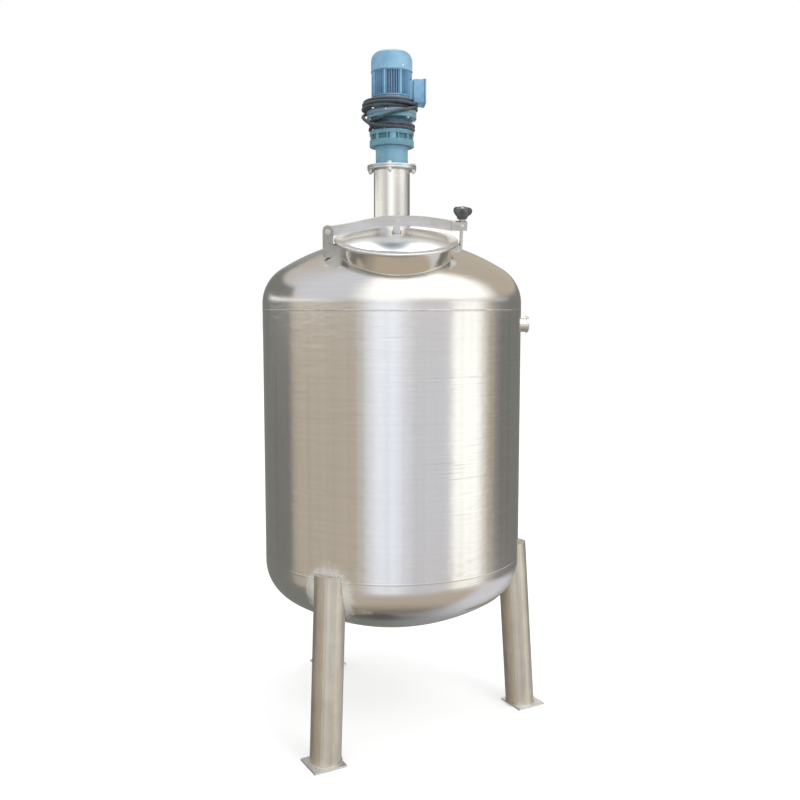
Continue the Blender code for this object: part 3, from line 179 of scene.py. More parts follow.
class Value:
    """The output of a node, which can be reckoned with."""

    def __init__(self, socket):
        self.socket = socket

    def into(self, kind, inputs, **settings):
        return Value(new_node(self.socket.id_data, kind, inputs, **settings).outputs[0])

    def math(self, operation, *others, clamp=False):
        return self.into("Math", (self, *others), operation=operation, use_clamp=clamp)

    def __add__(self, other):
        return self.math("ADD", other)

    def __sub__(self, other):
        return self.math("SUBTRACT", other)

    def __mul__(self, other):
        return self.math("MULTIPLY", other)

    def __abs__(self):
        return self.math("ABSOLUTE")

    def spread(self, low, high, to_low=0.0, to_high=1.0):
        """Smooth step between two values."""
        return self.into("MapRange", (self, low, high, to_low, to_high),
                         interpolation_type="SMOOTHSTEP")

    def stretch(self, to_low, to_high):
        return self.into("MapRange", (self, 0.0, 1.0, to_low, to_high))

    def mix(self, first, second):
        """From the first colour at 0 to the second at 1."""
        colours = [(*c, 1.0) if isinstance(c, tuple) else c for c in (first, second)]
        made = new_node(self.socket.id_data, "Mix", {0: self, 6: colours[0], 7: colours[1]},
                        data_type="RGBA")
        return Value(made.outputs[2])

    def split(self):
        made = new_node(self.socket.id_data, "SeparateXYZ", (self,))
        return [Value(part) for part in made.outputs]

    def noise(self, scale=1.0, detail=3.0, rough=0.55):
        return self.into("TexNoise",
                         {"Vector": self, "Scale": scale, "Detail": detail, "Roughness": rough})

    def bump(self, distance, strength, below=None):
        return self.into("Bump",
                         {"Height": self, "Distance": distance, "Strength": strength, "Normal": below})


def joined(parts, scales):
    """A vector of scaled parts."""
    return parts[0].into("CombineXYZ", [part * scale for part, scale in zip(parts, scales)])


class Finish:
    """A material for one of the record's slots."""

    def __init__(self, name, slot, metallic=0.0, **settings):
        self.slot = slot
        self.material = bpy.data.materials.new(name)
        self.material.use_nodes = True
        self.tree = self.material.node_tree
        self.shader = self.tree.nodes["Principled BSDF"].inputs
        for key, value in {"Metallic": metallic, **settings}.items():
            self.shader[key].default_value = value

    def source(self, kind, output):
        return Value(new_node(self.tree, kind).outputs[output])

    def place(self, matrix=None):
        """Coordinates of the piece, or those in a frame that the matrix places."""
        point = self.source("TexCoord", "Object")
        if matrix is None:
            return point
        inverse = matrix.inverted()
        return point.into("Mapping", {"Vector": point, "Location": inverse.to_translation(),
                                                "Rotation": inverse.to_euler("XYZ")})

    def round(self, matrix):
        """Distance from an axis, angle round it (seam at the back) and height along it."""
        x, y, z = self.place(matrix).split()
        return (x * x + y * y).math("SQRT"), x.math("ARCTAN2", y * -1.0), z

    def edge_wear(self, distance=0.002):
        """1 on the sharp edges, 0 elsewhere."""
        rounded_off = new_node(self.tree, "Bevel", {"Radius": distance}, samples=4).outputs[0]
        facing = new_node(self.tree, "VectorMath",
                          (rounded_off, self.source("NewGeometry", "Normal")),
                          operation="DOT_PRODUCT")
        return Value(facing.outputs["Value"]).spread(0.995, 0.93)

    def cover(self, colour, gloss, normal):
        for key, value in (("Base Color", colour), ("Roughness", gloss), ("Normal", normal)):
            put(self.shader[key], value)
        return self


def turned_steel(name, slot, matrix, light, dark, rough, uneven, lines, anisotropy, wave=0.0,
                 scratches=0.0, legs=False, tooth=0.25, turning=0.25):
    """Steel brushed round an axis: fine lines, a few coarser rings, clouds and slight waviness."""
    made = Finish(name, slot, 1.0, **{"Anisotropic": anisotropy, "Anisotropic Rotation": turning})
    parts = made.round(matrix)
    coarse = joined(parts, (lines / 5, 1.1, lines / 5)).noise(detail=4.0, rough=0.7)
    fine = joined(parts, (lines, 5.0, lines)).noise(rough=0.8)
    cloud = made.place().noise(4.0)
    tone = (coarse * 0.45 + (fine * 0.35 + cloud * 0.2)).spread(0.36, 0.64)
    colour = tone.mix(dark, light)
    gloss = fine.stretch(rough - uneven, rough + uneven) + coarse.stretch(-uneven, uneven)
    if scratches:
        # Most of them lie in a patch at the right of the front, where the tank was rubbed
        marks = joined(parts, (170.0, 1.6, 170.0)).noise(detail=2.0, rough=0.6)
        rubbed = abs(parts[1] - 0.5).spread(0.62, 0.22) * abs(parts[2] - 1.2).spread(0.3, 0.12)
        patchy = joined(parts, (9.0, 2.2, 9.0)).noise(detail=2.0)
        patchy = (patchy + rubbed * 0.12).spread(0.54, 0.7)
        dull, bright = marks.spread(0.4, 0.33) * patchy, marks.spread(0.6, 0.68) * patchy
        colour = (dull * scratches).mix(colour, tuple(c * 0.74 for c in dark))
        colour = (bright * scratches).mix(colour, (0.9, 0.9, 0.89))
        gloss = gloss + dull * 0.1
    if legs:
        near = near_legs(made)
        colour = near.mix(colour, (0.9, 0.89, 0.86))
        gloss = gloss + near * 0.2
        put(made.shader["Metallic"], near.stretch(1.0, 0.35))
    normal = fine.bump(0.0002, tooth)
    if wave:
        normal = joined(parts, (45.0, 9.0, 45.0)).noise(detail=1.0, rough=0.5).bump(wave, 1.0, normal)
    tangent = new_node(made.tree, "Tangent", direction_type="RADIAL", axis="Z")
    put(made.shader["Tangent"], tangent.outputs[0])
    return made.cover(colour, gloss, normal)


def near_legs(made):
    """How close to a leg's weld a point is: the steel there was ground again and is pale."""
    point = joined(made.place().split(), (1.0, 1.0, 0.8))
    near = None
    for angle in (0, 2 * pi / 3, 4 * pi / 3):
        spot = new_node(made.tree, "VectorMath",
                        (point, (AXIS_X + 0.49 * cos(angle), 0.49 * sin(angle), 0.48)),
                        operation="DISTANCE")
        away = Value(spot.outputs["Value"])
        near = away if near is None else near.math("MINIMUM", away)
    return (near + point.noise(45.0, 5.0).stretch(-0.03, 0.03)).spread(0.112, 0.066, 0.0, 0.75)


def drawn_steel(name, slot, light, dark, rough, grain, wear=0.0):
    """Satin steel with a grain along one direction, given as stretches along x, y and z."""
    made = Finish(name, slot, 1.0)
    streaks = joined(made.place().split(), grain).noise(detail=4.0, rough=0.7)
    cloud = made.place().noise(14.0, 4.0)
    colour = (streaks * 0.55 + cloud * 0.45).spread(0.36, 0.64).mix(dark, light)
    gloss = streaks.stretch(-0.1, 0.1) + cloud.stretch(rough - 0.06, rough + 0.06)
    if wear:
        worn = made.edge_wear() * wear
        colour = worn.mix(colour, tuple(min(1.0, c * 1.25) for c in light))
        gloss = gloss - worn * 0.12
    return made.cover(colour, gloss, cloud.bump(0.0006, 0.3, streaks.bump(0.0003, 0.4)))


def enamel(name, slot, colour, shade, chipped, rough=0.34, groove_shade=None):
    """Sprayed enamel: slight orange peel, painted shade in the grooves, chips on sharp edges."""
    made = Finish(name, slot, **{"Coat Weight": 0.4, "Coat Roughness": 0.22})
    place = made.place()
    cloud, speck, peel = place.noise(16.0, 5.0, 0.6), place.noise(190.0, 2.0), place.noise(420.0, 1.0)
    tone = cloud.spread(0.35, 0.68).mix(linear(*shade), linear(*colour))
    tone = (speck.spread(0.62, 0.7) * 0.25).mix(tone, linear(*shade))
    # Painted shade: nearer the axis, down between the fins and ribs, the tone turns to a darker colour
    if groove_shade is not None:
        inner, outer, groove_shade_colour = groove_shade
        tone = made.round(TANK)[0].spread(outer, inner).mix(tone, linear(*groove_shade_colour))
    chips = made.edge_wear(0.0016) * speck.spread(0.52, 0.6)
    gloss = cloud.stretch(rough - 0.09, rough + 0.09) + chips * 0.2
    return made.cover(chips.mix(tone, chipped), gloss, cloud.bump(0.0012, 0.25, peel.bump(0.00035, 0.25)))


def rubber(name, slot, colour, dust_and_sheen_colour, rough, grain=700.0, dust_and_sheen=0.0):
    """Rubber or moulded plastic with fine grain; faces that look up turn to the second colour, which is dust
    and a painted highlight.
    """
    made = Finish(name, slot)
    cloud, speck = made.place().noise(26.0, 5.0, 0.65), made.place().noise(grain, 2.0)
    worn = cloud.spread(0.42, 0.72)
    if dust_and_sheen:
        # Dust and painted highlight: faces that look up take the lighter second colour
        up = made.source("TexCoord", "Normal").split()[2]
        dust_and_sheen_on_top = up.spread(0.1, 0.95) * cloud.stretch(dust_and_sheen * 0.6, dust_and_sheen * 1.4)
        worn = (worn * 0.5).math("MAXIMUM", dust_and_sheen_on_top, clamp=True)
    return made.cover(worn.mix(colour, dust_and_sheen_colour), cloud.stretch(rough - 0.12, rough + 0.12),
                      speck.bump(0.0003, 0.4))


# Short name: how it is made, the material's name, its slot, then the colours and measures
FINISH_TABLE = {
    "tank": (turned_steel, "brushed_tank_steel", "tank_steel", TANK, (0.8, 0.79, 0.775),
             (0.755, 0.745, 0.73), 0.155, 0.03, 420.0, 0.85, 0.0005, 0.5, True),
    "head": (turned_steel, "brushed_head_steel", "tank_steel", TANK, (0.8, 0.79, 0.775),
             (0.755, 0.745, 0.735), 0.2, 0.03, 420.0, 0.5, 0.0004, 0.0, True),
    "tube": (turned_steel, "polished_tube_steel", "tank_steel", TANK, (0.81, 0.8, 0.78),
             (0.77, 0.76, 0.74), 0.15, 0.02, 700.0, 0.6, 0.0001),
    # The flanges' steel is tinted blue-green: a painted reflection of the teal gearbox
    "flange": (turned_steel, "turned_flange_steel", "tank_steel", TANK, (0.76, 0.8, 0.82),
               (0.64, 0.68, 0.7), 0.32, 0.05, 900.0, 0.4),
    "neck": (turned_steel, "polished_neck_steel", "neck_steel", MANHOLE, (0.78, 0.75, 0.69),
             (0.74, 0.71, 0.65), 0.09, 0.02, 500.0, 0.3, 0.0003),
    "lid": (turned_steel, "polished_lid_steel", "tank_steel", MANHOLE, (0.8, 0.8, 0.79),
            (0.77, 0.77, 0.765), 0.25, 0.015, 600.0, 0.7, 0.0, 0.0, False, 0.06, 0.0),
    "leg": (drawn_steel, "satin_leg_steel", "leg_steel", (0.72, 0.675, 0.595), (0.61, 0.57, 0.5), 0.43,
            (40.0, 40.0, 3.0), 0.4),
    "plate": (drawn_steel, "foot_plate_steel", "leg_steel", (0.95, 0.95, 0.95), (0.84, 0.84, 0.835), 0.44,
              (90.0, 12.0, 90.0), 0.4),
    "bar": (drawn_steel, "satin_bar_steel", "bar_steel", (0.81, 0.81, 0.815), (0.65, 0.655, 0.66), 0.4,
            (6.0, 60.0, 160.0), 0.6),
    # A darker copy of the bar's steel for the hinge bracket: painted shade
    "bracket": (drawn_steel, "bracket_steel", "bar_steel", (0.54, 0.545, 0.52), (0.43, 0.435, 0.42), 0.42,
                (60.0, 60.0, 60.0), 0.4),
    "weld": (drawn_steel, "weld_steel", "tank_steel", (0.8, 0.79, 0.78), (0.58, 0.56, 0.53), 0.36,
             (120.0, 120.0, 120.0)),
    "bolt": (drawn_steel, "fastener_steel", "bar_steel", (0.88, 0.88, 0.88), (0.68, 0.68, 0.69), 0.34,
             (200.0, 200.0, 200.0), 0.5),
    "blue": (enamel, "light_blue_enamel", "motor_paint", (142, 188, 214), (122, 170, 202),
             (0.42, 0.44, 0.45)),
    # A darker copy of the motor's light blue for the fins and the terminal box: painted shade, with painted
    # shade in the grooves too
    "fin_blue": (enamel, "fin_blue_enamel", "motor_paint", (134, 182, 214), (112, 160, 196),
                 (0.42, 0.5, 0.57), 0.34, (0.0655, 0.073, (82, 126, 162))),
    "shield": (enamel, "shield_enamel", "motor_paint", (134, 160, 176), (110, 138, 152),
               (0.42, 0.44, 0.45)),
    # Painted shade: the windows between the gearbox's ribs turn dark teal
    "teal": (enamel, "teal_enamel", "gearbox_paint", (106, 158, 174), (88, 138, 155),
             (0.35, 0.38, 0.39), 0.34, (0.077, 0.081, (62, 112, 128))),
    "drum_teal": (enamel, "drum_enamel", "gearbox_paint", (128, 176, 200), (110, 160, 184),
                  (0.38, 0.4, 0.41), 0.28),
    # The cable's pale blue-grey second colour on the tops of the strands is dust and a painted highlight
    "cable": (rubber, "cable_jacket", "cable_rubber", (0.036, 0.043, 0.052), (0.175, 0.235, 0.305), 0.4,
              700.0, 0.75),
    "gland": (rubber, "gland_nylon", "cable_rubber", (0.045, 0.048, 0.052), (0.075, 0.078, 0.08), 0.38),
    "gasket": (rubber, "gasket_silicone", "gasket_rubber", (0.72, 0.71, 0.66), (0.6, 0.58, 0.53), 0.55),
    "knob": (rubber, "knob_phenolic", "knob_plastic", (0.055, 0.055, 0.059), (0.12, 0.12, 0.128), 0.24,
             900.0),
    "brass": (drawn_steel, "brass_plug", "bar_steel", (0.76, 0.58, 0.28), (0.6, 0.44, 0.2), 0.32,
              (200.0, 200.0, 200.0)),
}


# Meshes


def turned(outline, steps, matrix=TANK, closed=True):
    """Spin an outline about Z and put it in its place."""
    mesh = bmesh.new()
    verts = [mesh.verts.new((radius, 0.0, height)) for radius, height in outline]
    edges = [mesh.edges.new(pair) for pair in zip(verts, verts[1:])]
    if closed:
        edges.append(mesh.edges.new((verts[-1], verts[0])))
    bmesh.ops.spin(mesh, geom=verts + edges, cent=(0, 0, 0), axis=(0, 0, 1), angle=2 * pi, steps=steps,
                   use_merge=True)
    bmesh.ops.remove_doubles(mesh, verts=mesh.verts, dist=0.000001)
    bmesh.ops.transform(mesh, matrix=matrix, verts=mesh.verts)
    return mesh


def solid_turned(points, steps, matrix=TANK):
    """Spin an outline and close it with flat ends."""
    return turned([(0.0, points[0][1])] + points + [(0.0, points[-1][1])], steps, matrix, closed=False)


def arc(centre, radius, start, end, parts):
    """Points along an arc, angles measured from the axis towards the rim."""
    angles = [start + (end - start) * k / parts for k in range(parts + 1)]
    return [(centre[0] + radius * sin(angle), centre[1] + radius * cos(angle)) for angle in angles]


def rounded(outline, radius, parts=3):
    """Round the corners of a closed outline."""
    result = []
    for index, here in enumerate(outline):
        here = Vector(here)
        before, after = Vector(outline[index - 1]) - here, Vector(outline[(index + 1) % len(outline)]) - here
        reach = min(radius, before.length * 0.45, after.length * 0.45)
        first, last = here + before.normalized() * reach, here + after.normalized() * reach
        for part in range(parts + 1):
            t = part / parts
            point = first * (1 - t) ** 2 + here * 2 * t * (1 - t) + last * t ** 2
            result.append((point.x, point.y))
    return result


def cast_solid(outline, radius):
    """Solid with rounded corners; its outline starts and ends on the axis."""
    return solid_turned([point for point in rounded(outline, radius) if point[0] > 0.001], CAST_STEPS)


def skin(mesh, rings, matrix=None, closed=False):
    """Join rings of points into one surface, with caps unless it closes on itself."""
    rows = [[mesh.verts.new(matrix @ Vector(p) if matrix else p) for p in ring] for ring in rings]
    for first, second in list(zip(rows, rows[1:])) + ([(rows[-1], rows[0])] if closed else []):
        for k in range(len(first)):
            following = (k + 1) % len(first)
            mesh.faces.new((first[k], first[following], second[following], second[k]))
    if not closed:
        mesh.faces.new(rows[0][::-1])
        mesh.faces.new(rows[-1])


def circle(radius, height, steps=24, shape=None):
    """Points on a circle, or on the closed shape that a rule gives for an angle and the radius."""
    ring = []
    for angle in (2 * pi * k / steps for k in range(steps)):
        here = radius if shape is None else shape(angle, radius)
        ring.append((here * cos(angle), here * sin(angle), height))
    return ring


def stack(mesh, matrix, rings, steps=24):
    """Join circles or shapes, given as (radius, height) or (radius, height, shape)."""
    skin(mesh, [circle(radius, height, steps, *shape) for radius, height, *shape in rings], matrix)


def tank_ring(radius, height, steps):
    """Points on a circle about the tank's axis."""
    return [Vector((AXIS_X + x, y, z)) for x, y, z in circle(radius, height, steps)]


def hexagon(angle, inside):
    """Distance from the middle of a hexagon to its edge."""
    return inside / cos((angle + pi / 6) % (pi / 3) - pi / 6)


def hex_head(mesh, matrix, across, height, washer, shank=0.0, shank_radius=0.0):
    """Hexagon head or nut with a chamfered top, on a washer, with the bolt's end standing out."""
    inside, start = across / 2, washer + height
    stack(mesh, matrix, [(inside * 1.28, 0.0), (inside * 1.28, washer)])
    stack(mesh, matrix, [(inside, washer, hexagon), (inside, washer + height * 0.8, hexagon),
                         (inside * 1.02, washer + height * 0.93,
                          lambda angle, r: min(r * 1.06, hexagon(angle, r))), (inside * 0.93, start)])
    if shank:
        turns = max(2, int(shank / 0.0012))
        thread = [(shank_radius * (1.0 if k % 2 else 0.9), start + shank * (k + 0.5) / turns / 2.1)
                  for k in range(turns * 2)]
        stack(mesh, matrix, [(shank_radius, start - 0.0005)] + thread + [(shank_radius * 0.8, start + shank)])


def round_screw(mesh, matrix, radius, height):
    """Pan head screw with a cross recess."""
    def cross(angle, r):
        return r * (0.35 + 0.65 * abs(cos(2 * angle)))
    stack(mesh, matrix, [(radius, 0.0), (radius, height * 0.5), (radius * 0.82, height * 0.85),
                         (radius * 0.5, height), (radius * 0.45, height, cross),
                         (radius * 0.4, height * 0.45, cross)])


def pointing(place, direction):
    """Frame at a place with its Z axis along a direction."""
    return shift(*place) @ Vector(direction).to_track_quat("Z", "Y").to_matrix().to_4x4()


def way_out(degrees):
    return Vector((cos(radians(degrees)), sin(radians(degrees)), 0))


def outward(degrees, radius, height):
    """Frame that points away from the tank's axis."""
    way = way_out(degrees)
    return pointing(Vector((AXIS_X, 0, height)) + way * radius, way)


def upright(degrees, radius, height, roll=0.0, down=False):
    """Frame beside the tank's axis that points up or down."""
    angle = radians(degrees)
    stood = TANK @ shift(radius * cos(angle), radius * sin(angle), height)
    return (stood @ turn(pi, "X") if down else stood) @ turn(roll)


def tube_along(mesh, path, radius, ripple=0.0):
    """Tube along a path, with the ripples that the torch leaves on a weld bead."""
    travelled = 0.0
    normal = None
    rings = []
    for k, here in enumerate(path):
        before, after = path[max(k - 1, 0)], path[min(k + 1, len(path) - 1)]
        forward = (after - before).normalized()
        if normal is None:
            normal = forward.orthogonal().normalized()
        normal = (normal - forward * normal.dot(forward)).normalized()
        side = forward.cross(normal)
        travelled += (here - before).length
        size = radius * (1 + ripple * sin(2 * pi * travelled / WELD_PITCH))
        rings.append([here + normal * size * cos(angle) + side * size * sin(angle)
                      for angle in (2 * pi * s / TUBE_SIDES for s in range(TUBE_SIDES))])
    skin(mesh, rings)


def box_mesh(low, high, radius, segments=3):
    """Box with rounded edges."""
    mesh = bmesh.new()
    bmesh.ops.create_cube(mesh, size=1.0)
    size, centre = Vector(high) - Vector(low), (Vector(high) + Vector(low)) / 2
    bmesh.ops.transform(mesh, matrix=shift(*centre) @ Matrix.Diagonal((*size, 1.0)), verts=mesh.verts)
    bmesh.ops.bevel(mesh, geom=list(mesh.edges), offset=radius, segments=segments, affect="EDGES",
                    profile=0.5)
    return mesh


def plate(start, end, box, margin, radius, segments=3):
    """Rounded plate across X, as wide and as high as a box with a margin round it."""
    low, high = box
    return box_mesh((start, low.y - margin, low.z - margin), (end, high.y + margin, high.z + margin),
                    radius, segments)


def merged(*meshes):
    """One mesh out of several."""
    whole = bmesh.new()
    for part in meshes:
        data = bpy.data.meshes.new("part")
        part.to_mesh(data)
        part.free()
        whole.from_mesh(data)
        bpy.data.meshes.remove(data)
    return whole


def plain_object(name, mesh):
    data = bpy.data.meshes.new(name)
    bmesh.ops.recalc_face_normals(mesh, faces=mesh.faces)
    mesh.to_mesh(data)
    mesh.free()
    return new_object(name, data)


def dress(made, surface, body, instead_of=()):
    """Finish and body of a piece, and the CAD nodes that it stands for."""
    made.data.materials.clear()
    made.data.materials.append(FINISHES[surface].material)
    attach(made, body)
    if instead_of:
        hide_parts(*instead_of)


def piece(name, mesh, surface, instead_of=(), smooth=32.0, body="tank"):
    """A mesh becomes a piece of the mixer; edges sharper than the angle stay sharp."""
    made = plain_object(name, mesh)
    made.data.shade_smooth()
    made.data.set_sharp_from_angle(angle=radians(smooth))
    dress(made, surface, body, instead_of)


def cut(made, mesh):
    """Take a mesh out of a plain object for good."""
    cutter = plain_object("cutter", mesh)
    boolean = made.modifiers.new("cut", "BOOLEAN")
    boolean.operation = "DIFFERENCE"
    boolean.solver = "EXACT"
    boolean.object = cutter
    shaped = bpy.data.meshes.new_from_object(made.evaluated_get(bpy.context.evaluated_depsgraph_get()))
    made.modifiers.clear()
    made.data = shaped
    bpy.data.objects.remove(cutter, do_unlink=True)


def tank_surface(place):
    """Distance to the tank's outer surface (positive outside) and the direction away from it."""
    x, y, z = place.x - AXIS_X, place.y, place.z
    out = hypot(x, y)
    around = Vector((x, y, 0)) / out if out > 1e-9 else Vector((1, 0, 0))
    if BOTTOM_TANGENT <= z <= TOP_TANGENT:
        return out - TANK_RADIUS, around
    sign = 1 if z > TOP_TANGENT else -1
    rise = z - TOP_TANGENT if sign > 0 else BOTTOM_TANGENT - z
    from_centre, radius = Vector((out, rise - CROWN_CENTRE)), CROWN_RADIUS
    if atan2(from_centre.x, from_centre.y) >= HEAD_ANGLE:
        from_centre, radius = Vector((out - KNUCKLE_PLACE, rise)), KNUCKLE_RADIUS
    flat = from_centre.normalized()
    return from_centre.length - radius, around * flat.x + Vector((0, 0, sign * flat.y))


def true_normals(made):
    """Shade the tank by the exact direction of its surface, also beside cuts."""
    data = made.data
    data.shade_smooth()
    normals = []
    for face in data.polygons:
        for corner in face.loop_indices:
            exact = tank_surface(data.vertices[data.loops[corner].vertex_index].co)[1]
            facing = exact.dot(face.normal)
            if abs(facing) > 0.96:
                normals.append(exact if facing > 0 else -exact)
            else:
                normals.append(face.normal.copy())
    data.normals_split_custom_set(normals)


def meets_tank(start, direction, reach, level=0.0):
    """First place along a line at which it meets the tank's surface, or None."""
    step = 0.004
    before, travelled = tank_surface(start)[0] - level, 0.0
    while travelled < reach:
        travelled += step
        after = tank_surface(start + direction * travelled)[0] - level
        if before > 0 >= after or before < 0 <= after:
            low, high = travelled - step, travelled
            for _ in range(24):
                half = (low + high) / 2
                inside = tank_surface(start + direction * half)[0] - level
                low, high = (half, high) if (inside > 0) == (before > 0) else (low, half)
            return start + direction * (low + high) / 2
        before = after
    return None


# Tank


def head_side(offset, bore):
    """One side of a head from its rim to its bore, in (radius, height over the tangent line)."""
    offset -= SKIN
    last = asin(bore / (CROWN_RADIUS + offset))
    return ([(TANK_RADIUS + offset, -HEAD_FLANGE)]
            + arc((KNUCKLE_PLACE, 0.0), KNUCKLE_RADIUS + offset, pi / 2, HEAD_ANGLE, 18)
            + arc((0.0, CROWN_CENTRE), CROWN_RADIUS + offset, HEAD_ANGLE, last, 22)[1:])


def head_mesh(bore, upward):
    sign, tangent = (1, TOP_TANGENT) if upward else (-1, BOTTOM_TANGENT)
    outline = head_side(0.0, bore) + head_side(-TANK_WALL, bore)[::-1]
    return turned([(radius, tangent + sign * height) for radius, height in outline], TANK_STEPS)


def tank_skin(name, mesh, surface, node, cutter=None):
    made = plain_object(name, mesh)
    if cutter is not None:
        cut(made, cutter)
    true_normals(made)
    dress(made, surface, "tank", [node])


def tank_pieces():
    nozzle_axis = TANK @ shift(0, 0, NOZZLE_HEIGHT) @ turn(pi / 2, "Y")
    heights = [BOTTOM_SEAM + (TOP_SEAM - BOTTOM_SEAM) * k / 12 for k in range(13)]
    outline = [(TANK_RADIUS - SKIN, z) for z in heights]
    outline += [(TANK_RADIUS - TANK_WALL, z) for z in heights[::-1]]
    tank_skin("shell_skin", turned(outline, TANK_STEPS), "tank", "shell",
              solid_turned([(NOZZLE_RADIUS, 0.4), (NOZZLE_RADIUS, 0.6)], 48, nozzle_axis))
    tank_skin("top_head_skin", head_mesh(0.045, True), "head", "top_head",
              solid_turned([(NECK_RADIUS, -0.15), (NECK_RADIUS, 0.15)], TANK_STEPS, MANHOLE))
    tank_skin("bottom_head_skin", head_mesh(OUTLET_RADIUS, False), "head", "bottom_head")

    # Ground welds between shell and heads
    edge = TANK_RADIUS - 0.001
    for name, height, surface in (("top_seam_weld", TOP_SEAM, "weld"),
                                  ("bottom_seam_weld", BOTTOM_SEAM, "tank")):
        bead = [(TANK_RADIUS - 0.0005 + 0.0005 * cos(t * pi / 8), height + 0.001 * t) for t in range(-4, 5)]
        piece(name, turned([(edge, height - 0.005)] + bead + [(edge, height + 0.005)], 192), surface)

    # Side nozzle with a rolled lip, and the outlet
    end, bore, pipe = TANK_RADIUS + NOZZLE_REACH, NOZZLE_RADIUS - PIPE_WALL, NOZZLE_RADIUS - SKIN
    nozzle = [(bore, 0.499), (pipe, 0.499), (pipe, end - 0.01), (NOZZLE_RADIUS + 0.0022, end - 0.0085),
              (NOZZLE_RADIUS + 0.0028, end - 0.004), (NOZZLE_RADIUS + 0.0018, end - 0.001),
              (NOZZLE_RADIUS - 0.0006, end), (bore + 0.0004, end), (bore, end - 0.001)]
    piece("side_nozzle_tube", turned(nozzle, 64, nozzle_axis), "tube", ["side_nozzle"])
    low, high = BOTTOM_TANGENT - HEAD_DEPTH - 0.024, BOTTOM_TANGENT - HEAD_DEPTH + 0.004
    bore = OUTLET_RADIUS - PIPE_WALL
    outlet = rounded([(bore, low), (OUTLET_RADIUS, low), (OUTLET_RADIUS, high), (bore, high)], 0.0006)
    piece("outlet_tube", turned(outlet, 64), "bar", ["bottom_outlet"])


def evenly(path, spacing):
    """Points at even distances along a path."""
    travelled = [0.0]
    for before, after in zip(path, path[1:]):
        travelled.append(travelled[-1] + (after - before).length)
    count = max(2, round(travelled[-1] / spacing))
    result, index = [], 0
    for k in range(count + 1):
        target = travelled[-1] * k / count
        while index < len(travelled) - 2 and travelled[index + 1] < target:
            index += 1
        part = travelled[index + 1] - travelled[index]
        share = (target - travelled[index]) / part if part > 0 else 0.0
        result.append(path[index].lerp(path[index + 1], share))
    return result


def weld(name, paths, size, closed=True, body="tank"):
    mesh = bmesh.new()
    for path in paths:
        tube_along(mesh, evenly(path + path[:1] if closed else path, WELD_STEP), size, WELD_RIPPLE)
    piece(name, mesh, "weld", smooth=80.0, body=body)


def leg_welds():
    """Beads round each leg: along the cope on the tank, over the cap and on the foot plate."""
    copes, feet = [], []
    length = LEG_TOP / cos(LEG_RAKE)
    for index in range(3):
        way = 2 * pi * index / 3
        lean = TANK @ turn(way) @ shift(LEG_FOOT_RADIUS, 0, 0) @ turn(-LEG_RAKE, "Y")
        up = (lean.to_3x3() @ Vector((0, 0, 1))).normalized()
        met = [meets_tank(lean @ Vector(p), up, length - 0.3) for p in circle(LEG_RADIUS, 0.3, 180)]
        cope = [place for place in met if place is not None]
        starts = [lean @ Vector(p) for p in circle(LEG_RADIUS + 0.001, 0, 180)]
        feet.append([start + up * ((FOOT_TOP + 0.0005 - start.z) / up.z) for start in starts])
        # Over the cap: where its top face meets the shell
        cap, inverse = [], lean.inverted()
        rise = (inverse.to_3x3() @ Vector((0, 0, 1))).z
        for k in range(-60, 61):
            around = way + radians(k * 0.14)
            place = Vector((AXIS_X + TANK_RADIUS * cos(around), TANK_RADIUS * sin(around), 0))
            place.z = (length + LEG_CAP - (inverse @ place).z) / rise
            local = inverse @ place
            if hypot(local.x, local.y) < LEG_RADIUS:
                cap.append(place)
        nearer = (cope[-1] - cap[0]).length < (cope[-1] - cap[-1]).length
        copes.append(cope + (cap if nearer else cap[::-1]))
    weld("leg_cope_welds", copes, 0.0028)
    weld("foot_welds", feet, 0.0028)


def weld_pieces():
    leg_welds()
    neck = [meets_tank(MANHOLE @ Vector(p), MANHOLE_UP, 0.2) for p in circle(NECK_RADIUS, BELOW_HEAD, 240)]
    weld("neck_weld", [neck], 0.0019)
    foot = TOP_TANGENT + CROWN_CENTRE + sqrt(CROWN_RADIUS ** 2 - STAND_RADIUS ** 2) + 0.0005
    weld("stand_foot_weld", [tank_ring(STAND_RADIUS, foot, 120)], 0.0026)
    nozzle = [Vector((AXIS_X + sqrt(TANK_RADIUS ** 2 - y ** 2), y, NOZZLE_HEIGHT + z))
              for y, z, _ in circle(NOZZLE_RADIUS, 0.0, 90)]
    outlet = tank_ring(OUTLET_RADIUS, BOTTOM_TANGENT - HEAD_DEPTH + 0.0002, 80)
    weld("nozzle_welds", [nozzle, outlet], 0.002)


# Manhole


def lid_profile():
    """Domed lid with a flat rim and a rolled edge, from the middle of its top to that of its underside."""
    dome = (LID_DOME_RADIUS ** 2 + LID_DOME_HEIGHT ** 2) / (2 * LID_DOME_HEIGHT)
    half = asin(LID_DOME_RADIUS / dome)
    centre = (0.0, LID_WALL + LID_DOME_HEIGHT - dome)
    bead = 0.005
    rolled = arc((LID_RADIUS - bead, LID_WALL * 1.5 - bead), bead, -0.5, pi, 14)
    return (arc(centre, dome, 0.0, half, 28)
            + [(LID_DOME_RADIUS + 0.002, LID_WALL + 0.0002), (LID_DOME_RADIUS + 0.0045, LID_WALL)] + rolled
            + [(LID_RADIUS - 2 * bead + 0.001, rolled[-1][1]), (LID_RADIUS - 2 * bead, 0.0),
               (LID_DOME_RADIUS, 0.0)]
            + arc(centre, dome - LID_WALL, half, 0.0, 28))


